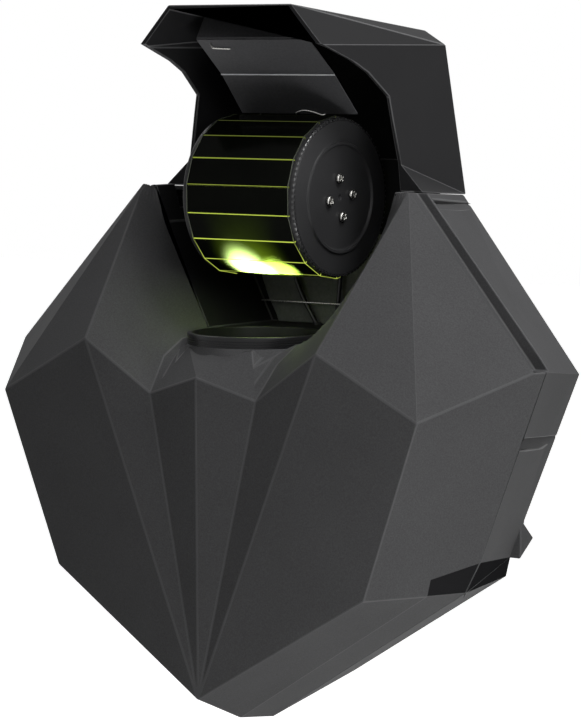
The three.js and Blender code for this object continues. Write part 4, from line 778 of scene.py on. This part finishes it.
class EFFECTLIGHT_OT_mirrors(bpy.types.Operator):
    """Makes the mirror strips, with dark coated faces and ground edges with a painted glow"""

    bl_idname = "effect_light.mirrors"
    bl_label = "Mirror strips"

    def execute(self, context):
        axis = middle("barrel_drum")
        for node in sorted(n for n in NODES if n.startswith("mirror_")):
            made = joined_copy(node, node + "_glass")
            outwards = middle(node) - axis
            outwards = Vector((0, outwards.y, outwards.z)) / outwards.length
            for face in made.data.polygons:
                facing = face.normal @ outwards
                is_long_edge = abs(facing) < 0.9 and abs(face.normal.x) < 0.5
                face.material_index = 0 if facing > 0.9 else 1 if is_long_edge else 2
            round_edges(made, 0.14 * MM)
            dressed(made, "barrel", ("mirror", "painted_glow_edge", "satin_abs"), "mirror", node)
        self.make_end_glow()
        return {"FINISHED"}

    def make_end_glow(self):
        """The mirrors' end edges, with a painted glow at the barrel's bottom: a thin bead along each side of
        the polygon that the glasses make, at both ends of the barrel."""
        axis = middle("barrel_drum")
        low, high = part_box("mirror_01")
        carried = NODES["mirror_01"]
        points = np.array([carried.matrix_world @ v.co for v in carried.data.vertices])[:, 1:] - axis[1:]
        mean = points.mean(0)
        out = mean / np.hypot(*mean)
        half = math.pi / MIRRORS
        reach = (points @ out).max() / math.cos(half) - 0.1 * MM
        turns = math.atan2(out[1], out[0]) + half * (2 * np.arange(MIRRORS + 1) + 1)
        corners = np.stack([np.cos(turns), np.sin(turns)], 1) * reach + np.array(axis[1:])
        share = np.linspace(0, 1, 5)[:-1, None]
        sides = [a + share * (b - a) for a, b in zip(corners[:-1], corners[1:])]
        ring = np.concatenate([*sides, corners[:1]])
        for side, place in (("left", low.x + 0.4 * MM), ("right", high.x - 0.4 * MM)):
            path = np.column_stack([np.full(len(ring), place), ring])
            bead = tube("mirror_end_glow_bead_" + side, path, 0.3 * MM, 8)
            dressed(bead, "barrel", "glass_end", slot_of("mirror_01"))


class EFFECTLIGHT_OT_barrel_ends(bpy.types.Operator):
    """Makes the barrel's two moulded end caps and the four screws"""

    bl_idname = "effect_light.barrel_ends"
    bl_label = "Barrel ends"

    def execute(self, context):
        low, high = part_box("barrel_cap_right")
        radius = (high.z - low.z) / 2
        centre = middle("barrel_cap_right")
        thick = 3.0 * MM
        # A raised ring on the face: radius of its middle, half width, height
        ring, half, ring_height = 33 * MM, 1.3 * MM, 1.2 * MM
        inner, outer, top = ring - half, ring + half, thick + ring_height
        face = thick - 0.5 * MM
        profile = [(0, 0), (radius, 0)]
        profile += rounded_corner(radius, thick * 0.6, radius, thick, radius - 1.2 * MM, thick)
        high_side = thick + ring_height * 0.6
        profile += rounded_corner(outer + 0.6 * MM, thick, outer, thick, outer - 0.3 * MM, high_side)
        profile += rounded_corner(ring + 0.7 * MM, top, ring, top, ring - 0.7 * MM, top)
        profile += rounded_corner(inner, thick, inner - 0.4 * MM, face, inner - 1.4 * MM, face)
        profile += [(2.4 * MM, face)]
        profile += rounded_corner(2.0 * MM, face, 1.2 * MM, face - 0.8 * MM, 0, face - 0.9 * MM)
        place = Vector((low.x, centre.y, centre.z))
        right = revolved("barrel_end_cap_right", profile, place, (1, 0, 0), 144)
        dressed(right, "barrel", "satin_abs", "soft_black", "barrel_cap_right")
        self.make_teeth(radius, thick, place)
        self.make_left(profile)
        self.make_screws()
        return {"FINISHED"}

    def make_teeth(self, radius, thick, place):
        """A fine toothed band over the rounded rim: a quarter-round profile whose radius drops by half a
        millimetre in each narrow notch."""
        teeth, steps, solid_steps = 90, 8, 5
        step = np.arange(teeth * steps)
        turn = full_turn(len(step))
        notch = (step % steps >= solid_steps) * 0.5 * MM
        # Each row: how far inside the radius in mm, how far along the cap, and whether it is notched
        rows = [(2, 0.5, 0), (-0.1, 0.5, 1), (-0.1, 0.7, 1), (0.1, 0.86, 1), (0.5, 0.98, 1)]
        rows = np.array([*rows, (1.1, 1.03, 1), (2, 1.03, 0)])
        rows = np.concatenate([rows, rows[:1]])
        reach = radius - rows[:, :1] * MM - rows[:, 2:] * notch
        x = np.broadcast_to(rows[:, 1:2] * thick, reach.shape)
        points = np.stack([x, reach * np.cos(turn), reach * np.sin(turn)], -1).reshape(-1, 3)
        points = points + np.array(place)
        band = cleaned(mesh_object("barrel_cap_teeth", points, grid_faces(len(rows), len(turn))))
        dressed(smooth(band, 25), "barrel", "polished_abs", "soft_black")

    def make_left(self, outer):
        """The motor's end: the same rim and ring, with an open hub."""
        centre = middle("barrel_cap_left")
        hub = 10 * MM
        ring_points = [p for p in outer[2:] if p[0] > hub]
        hub_top = outer[-8][1]
        profile = [(hub, 0), outer[1], *ring_points, (hub, hub_top), (hub, 0)]
        place = Vector((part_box("barrel_cap_left")[1].x, centre.y, centre.z))
        left = revolved("barrel_end_cap_left", profile, place, (-1, 0, 0))
        dressed(left, "barrel", "satin_abs", "soft_black", "barrel_cap_left")

    def make_screws(self):
        """Pan heads with a cross recess. Over radius share s and angle a, a head's height is a low dome
        with a rounded rim, less a cross-shaped pit whose arms rise outwards."""
        radius, height, sides = 3.1 * MM, 1.8 * MM, 48
        share = np.concatenate([np.linspace(0, 0.9, 19), [0.95, 0.98, 1.0, 1.0]])[:, None]
        angle = full_turn(sides)[None, :]
        x = radius * share * np.cos(angle)
        y = radius * share * np.sin(angle)
        dome = height * (1 - 0.28 * share**2 - 0.35 * np.clip((share - 0.85) / 0.15, 0, 1) ** 2)
        dome = np.broadcast_to(dome, x.shape).copy()
        dome[-1] = 0
        arm, reach = radius * 0.17, radius * 0.62
        in_x = (np.abs(y) < arm) & (np.abs(x) < reach)
        in_y = (np.abs(x) < arm) & (np.abs(y) < reach)
        depth = 0.6 * height * np.clip(1.15 - np.hypot(x, y) / reach, 0.25, 1)
        dome -= np.where(in_x | in_y, depth, 0)
        across, up, along = axis_frame((1, 0, 0))
        for i in range(1, 5):
            node = f"cap_screw_{i}"
            centre = middle(node)
            place = np.array((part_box(node)[1].x - height, centre.y, centre.z))
            cos, sin = math.cos(0.3 * i), math.sin(0.3 * i)
            first, second = cos * across + sin * up, cos * up - sin * across
            points = x[..., None] * first + y[..., None] * second + dome[..., None] * along + place
            faces = grid_faces(len(share), sides)[:, ::-1]
            made = mesh_object(f"cap_screw_head_{i}", points.reshape(-1, 3), faces)
            with editing(made.data) as work:
                bmesh.ops.remove_doubles(work, verts=work.verts, dist=1e-7)
                rim = [e for e in work.edges if len(e.link_faces) == 1]
                bmesh.ops.contextual_create(work, geom=rim)
                bmesh.ops.recalc_face_normals(work, faces=work.faces)
            dressed(smooth(made, 40), "barrel", "nickel", "steel", node)


class EFFECTLIGHT_OT_lens(bpy.types.Operator):
    """Makes the lens ring, the domed lens and the beam"""

    bl_idname = "effect_light.lens"
    bl_label = "Lens"

    def execute(self, context):
        low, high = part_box("lens_bezel")
        centre = middle("lens_bezel")
        radius = (high.x - low.x) / 2
        height = high.z - low.z
        wall = 3 * MM
        bore = radius - wall
        profile = [(bore - wall, 0), (radius, 0)]
        # Three fine grooves run round the wall
        for down in (5.6, 4.2, 2.8):
            top = height - down * MM
            profile += [(radius, top - 0.5 * MM), (radius - 0.35 * MM, top - 0.35 * MM)]
            profile += [(radius - 0.35 * MM, top - 0.15 * MM), (radius, top)]
        profile += rounded_corner(radius, height - 0.9 * MM, radius, height, radius - 0.9 * MM, height)
        profile += rounded_corner(bore + 0.8 * MM, height, bore, height, bore, height - 0.8 * MM)
        profile += [(bore, wall), (bore - wall, wall), (bore - wall, 0)]
        place = Vector((centre.x, centre.y, low.z))
        ring = revolved("lens_ring", profile, place, sides=128)
        dressed(ring, "chassis", "gloss_abs", "soft_black", "lens_bezel")
        self.make_skirt(centre, radius, high.z - 7 * MM)
        self.make_lens()
        self.make_beam(settings_of(context))
        return {"FINISHED"}

    def make_skirt(self, centre, radius, top):
        """A sloping collar on the shelf round the foot of the ring."""
        inner, foot = radius + 0.05 * MM, -4.5 * MM
        profile = [(inner, foot), (radius + 2.4 * MM, foot), (radius + 0.5 * MM, -0.3 * MM)]
        profile += [(radius + 0.3 * MM, 0), (inner, 0), (inner, foot)]
        skirt = revolved("lens_ring_collar", profile, (centre.x, centre.y, top), sides=128)
        dressed(skirt, "chassis", "moulded_abs", "black_plastic")

    def make_lens(self):
        """Flat below, a cylindrical edge, and a spherical crown above."""
        low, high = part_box("front_lens")
        centre = middle("front_lens")
        radius = (high.x - low.x) / 2
        edge = 3 * MM
        crown = high.z - low.z - edge
        sphere = (radius**2 + crown**2) / (2 * crown)
        full = math.asin(radius / sphere)
        angle = np.linspace(full, 0, 24)
        dome = np.stack([sphere * np.sin(angle), edge + crown - sphere * (1 - np.cos(angle))], 1)
        profile = [(0, 0), (radius, 0), *dome.tolist()]
        lens = revolved("front_lens_dome", profile, (centre.x, centre.y, low.z))
        dressed(lens, "chassis", "lens_glass", "clear_glass", "front_lens")

    def make_beam(self, settings):
        """Three narrow lamps over the lens that light the barrel's lower facets: a faint wide one, a strong
        core, and one from the side."""
        centre = middle("front_lens")
        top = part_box("front_lens")[1].z + 2 * MM
        axis = middle("barrel_drum")
        # Name, start and aim in mm to the right, cone in degrees, softness, share of the power, and how
        # far its colour turns to white
        cones = [
            ("beam_spread", -4, 0, 60, 1.0, 0.22, 0.0),
            ("beam_core", -6, -9, 40, 0.8, 3.4, 0.35),
            ("beam_side", 6, 20, 26, 0.3, 1.4, 0.1),
        ]
        for name, start, aim, cone, blend, share, white in cones:
            place = Vector((start * MM, centre.y, top))
            target = Vector((aim * MM, axis.y - 14 * MM, axis.z))
            beam = lamp_object(name, "SPOT", settings.beam_power * share, place, target)
            beam.data.color = [part + white * (1 - part) for part in settings.beam_colour]
            beam.data.spot_size = math.radians(cone)
            beam.data.spot_blend = blend
            beam.data.shadow_soft_size = 3 * MM
            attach(beam, "chassis")


class EFFECTLIGHT_OT_bay_fittings(bpy.types.Operator):
    """Makes the plate behind the barrel, its two leads and wire stay, and the wires at the baffle"""

    bl_idname = "effect_light.bay_fittings"
    bl_label = "Bay fittings"

    def execute(self, context):
        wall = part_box("bay_tray")[1].y - 2 * MM
        front = wall - 2.6 * MM
        # Half width and height of the plate's side, from the bottom up
        side = np.array([(43.2, 34.4), (44.6, 38.2), (51, 49.4), (55.7, 60.7), (59, 72), (60, 92)]) * MM
        outline = np.concatenate([side, side[::-1] * (-1, 1)])
        # Pale grey plate: painted light on the bay's back wall
        plate = prism("bay_back_plate", outline, front, wall)
        round_edges(plate, 0.8 * MM, segments=3)
        dressed(plate, "chassis", "primed_sheet", "grey_sheet")
        # Two leads: how far to the right each one is at each height
        ahead = front - 3.4 * MM
        floor = 34.1 * MM
        across = np.array([[-30.5, -28.8, -26.5, -21, -14.8, -9.6], [8.6, 8.3, 7.8, 6.6, 5.5, 5.2]]) * MM
        heights = np.array([82, 72, 62.6, 51.2, 41.4, 33.6]) * MM
        for side_name, row in zip(("left", "right"), across):
            line = [(x, ahead, z) for x, z in zip(row, heights)]
            path = [(row[0], front + 1 * MM, 86 * MM), *line]
            dressed(tube(f"bay_lead_{side_name}", path, 1.4 * MM), "chassis", "pvc", "soft_black")
            ends = [((row[0], front, 85.4 * MM), (0, -1, 0)), ((row[-1], ahead, floor), (0, 0, 1))]
            for end, (place, axis) in zip(("upper", "lower"), ends):
                self.make_grommet(f"lead_grommet_{side_name}_{end}", place, axis)
        # The stay: a wire that stands out of the plate, runs across it and goes back in
        reach, stand, height, bend = 48.8 * MM, front - 6.2 * MM, 47.9 * MM, 1.2 * MM
        path = [(-reach, front + 1 * MM, height), (-reach, stand + bend, height)]
        path += [(bend - reach, stand, height), (0, stand, height), (reach - bend, stand, height)]
        path += [(reach, stand + bend, height), (reach, front + 1 * MM, height)]
        dressed(tube("bay_wire_stay", path, 0.5 * MM, 10), "chassis", "nickel", "steel")
        # Points of the two wires at the baffle, in mm
        spring = [(-2, -129.9, 166.9), (-0.5, -131, 167.7), (4.9, -131.4, 169), (11.6, -131.4, 168.3)]
        spring += [(18.5, -131, 166.5), (20, -129.9, 166.9)]
        clip = [(-32.9, -175.7, 210.2), (-33.6, -173, 207.8), (-32.4, -172.3, 207), (-20.5, -172, 206.5)]
        for name, path in (("baffle_spring_wire", spring), ("baffle_clip_wire", clip)):
            made = tube(name, np.array(path) * MM, 0.45 * MM, 10)
            dressed(made, "chassis", "nickel", "steel")
        return {"FINISHED"}

    def make_grommet(self, name, place, axis):
        """A rubber ring round a lead: a half-round bead on a flat foot."""
        profile = [(1.3 * MM, -0.2 * MM), (3 * MM, -0.2 * MM)]
        profile += rounded_corner(3 * MM, 0, 2.6 * MM, 1.6 * MM, 1.3 * MM, 1.5 * MM, 6)
        profile += [(1.3 * MM, -0.2 * MM)]
        dressed(revolved(name, profile, place, axis, 32), "chassis", "rubber", "soft_black")


class EFFECTLIGHT_OT_rear_fittings(bpy.types.Operator):
    """Makes the buttons, the display, the sockets and the knobs"""

    bl_idname = "effect_light.rear_fittings"
    bl_label = "Rear fittings"

    def execute(self, context):
        for i in range(1, 5):
            self.make_button(i)
        for side in ("left", "right"):
            self.make_knob(side)
        for node in ("power_inlet", "dmx_output", "dmx_input"):
            finish = "black_steel" if node == "dmx_input" else "satin_abs"
            rounded_node(node, node + "_socket", finish, 0.35 * MM)
        rounded_node("display_window", "display_pane", "display", 0.3 * MM)
        self.make_digits()
        return {"FINISHED"}

    def make_button(self, i):
        """A round cap with a dished top on a wider flange."""
        node = f"menu_button_{i}"
        low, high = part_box(node)
        centre = middle(node)
        flange, flange_thick = 5.2 * MM, 1.2 * MM
        radius = 4 * MM
        length = high.y - low.y
        profile = [(0, 0), (flange, 0), (flange, flange_thick), (radius, flange_thick)]
        profile += rounded_corner(radius, length - 0.9 * MM, radius, length, radius - 0.9 * MM, length)
        profile += [(radius * 0.6, length - 0.15 * MM), (0, length - 0.3 * MM)]
        place = Vector((centre.x, low.y, centre.z))
        made = revolved(f"menu_button_cap_{i}", profile, place, (0, 1, 0), 64)
        dressed(made, f"button_{i}", "rubber", "button_plastic", node)

    def make_knob(self, side):
        """A six-lobed grip: radius over the angle is full, less a smooth hollow at each flute, and the
        ends are rounded over."""
        node = f"tilt_knob_{side}"
        low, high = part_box(node)
        centre = middle(node)
        sign = 1 if side == "right" else -1
        outer = high.x if side == "right" else -low.x
        lobes, sides = 6, 144
        full, length = 17 * MM, 18 * MM
        start = outer - length
        turn = full_turn(sides)[None, :]
        # Each row: share of the radius, and share of the length
        stations = [(0, 0.0), (0.9, 0.0), (0.97, 0.02), (1, 0.06), (1, 0.94), (0.97, 0.985), (0.9, 1.0)]
        stations += [(0.55, 1.0), (0.5, 0.97), (0, 0.97)]
        share = np.array(stations)[:, :1]
        along = start + length * np.array(stations)[:, 1:]
        flute = 4 * MM * np.clip(np.cos(lobes * turn), 0, 1) ** 1.5
        radius = share * (full - flute * np.clip((share - 0.5) / 0.5, 0, 1))
        y = centre.y + radius * np.cos(turn)
        z = centre.z + radius * np.sin(turn)
        x = sign * np.broadcast_to(along, y.shape)
        points = np.stack([x, y, z], -1).reshape(-1, 3)
        grip = smooth(cleaned(mesh_object(f"knob_grip_{side}", points, grid_faces(len(stations), sides))))
        dressed(grip, f"knob_{side}", "rubber", "soft_black", node)
        # The bolt: from its tip, inside the bracket's arm, out to its head under the grip
        tip, head = 61 * MM, start + 0.2 * MM
        neck, bolt_radius, head_radius = head - 1.5 * MM, 4 * MM, 11.9 * MM
        profile = [(0, tip), (3.6 * MM, tip), (bolt_radius, tip + 0.5 * MM), (bolt_radius, neck)]
        profile += [(head_radius, neck), (head_radius, head), (0, head)]
        bolt = revolved(f"knob_bolt_{side}", profile, (0, centre.y, centre.z), (sign, 0, 0), 48)
        dressed(bolt, f"knob_{side}", "nickel", "steel")

    def make_digits(self):
        """Three seven-segment figures that read 001, on the outer face of the window."""
        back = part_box("display_window")[1].y
        centre = middle("display_window")
        digit_w, digit_h, bar, pitch = 7 * MM, 12 * MM, 1.3 * MM, 12 * MM
        lit = {"0": "abcdef", "1": "bc"}
        # Each segment: its place in widths and heights of the figure, and 1 where it lies flat
        places = {
            "a": (0, 0.5, 1), "b": (0.5, 0.25, 0), "c": (0.5, -0.25, 0), "d": (0, -0.5, 1),
            "e": (-0.5, -0.25, 0), "f": (-0.5, 0.25, 0),
        }
        boxes = []
        for i, figure in enumerate("001"):
            # Seen from behind, the first figure is on the side of +X
            x0 = centre.x + (1 - i) * pitch
            for segment in lit[figure]:
                u, v, flat = places[segment]
                half_u = (digit_w / 2 - bar) if flat else bar / 2
                half_v = bar / 2 if flat else digit_h / 4 - bar * 0.7
                boxes.append((x0 - u * digit_w, centre.z + v * digit_h, half_u, half_v))
        b = np.array(boxes)
        signs = np.array([(-1, -1), (1, -1), (1, 1), (-1, 1)])
        x = b[:, :1] + signs[:, 0] * b[:, 2:3]
        z = b[:, 1:2] + signs[:, 1] * b[:, 3:4]
        outer, inner = back + 0.15 * MM, back - 0.2 * MM
        rings = [np.stack([x, np.full_like(x, y), z], -1) for y in (inner, outer)]
        points = np.concatenate(rings, 1).reshape(-1, 3)
        quads = [(3, 2, 1, 0), (4, 5, 6, 7), (0, 1, 5, 4), (1, 2, 6, 5), (2, 3, 7, 6), (3, 0, 4, 7)]
        faces = (np.arange(len(b))[:, None, None] * 8 + np.array(quads)).reshape(-1, 4)
        made = cleaned(mesh_object("display_digits", points, faces), 1e-8)
        dressed(made, "chassis", "digit", "display_glass")


OPERATORS = (
    EFFECTLIGHT_OT_stage,
    EFFECTLIGHT_OT_finishes,
    EFFECTLIGHT_OT_shells,
    EFFECTLIGHT_OT_sheet_metal,
    EFFECTLIGHT_OT_mirrors,
    EFFECTLIGHT_OT_barrel_ends,
    EFFECTLIGHT_OT_lens,
    EFFECTLIGHT_OT_bay_fittings,
    EFFECTLIGHT_OT_rear_fittings,
)


class EFFECTLIGHT_PT_panel(bpy.types.Panel):
    """Lists the settings and the operators."""

    bl_idname = "EFFECTLIGHT_PT_panel"
    bl_label = "Effect Light"
    bl_space_type = "VIEW_3D"
    bl_region_type = "UI"
    bl_category = "Effect Light"

    def draw(self, context):
        settings = settings_of(context)
        for key in EffectLightSettings.__annotations__:
            self.layout.prop(settings, key)
        for operator in OPERATORS:
            self.layout.operator(operator.bl_idname)


CLASSES = (EffectLightSettings, *OPERATORS, EFFECTLIGHT_PT_panel)


def register():
    for one in CLASSES:
        bpy.utils.register_class(one)
    bpy.types.Scene.effect_light = bpy.props.PointerProperty(type=EffectLightSettings)


def unregister():
    del bpy.types.Scene.effect_light
    for one in reversed(CLASSES):
        bpy.utils.unregister_class(one)


def main():
    register()
    for operator in OPERATORS:
        group, name = operator.bl_idname.split(".")
        result = getattr(getattr(bpy.ops, group), name)()
        if result != {"FINISHED"}:
            raise RuntimeError(f"{operator.bl_idname} did not finish")


if __name__ == "__main__":
    main()
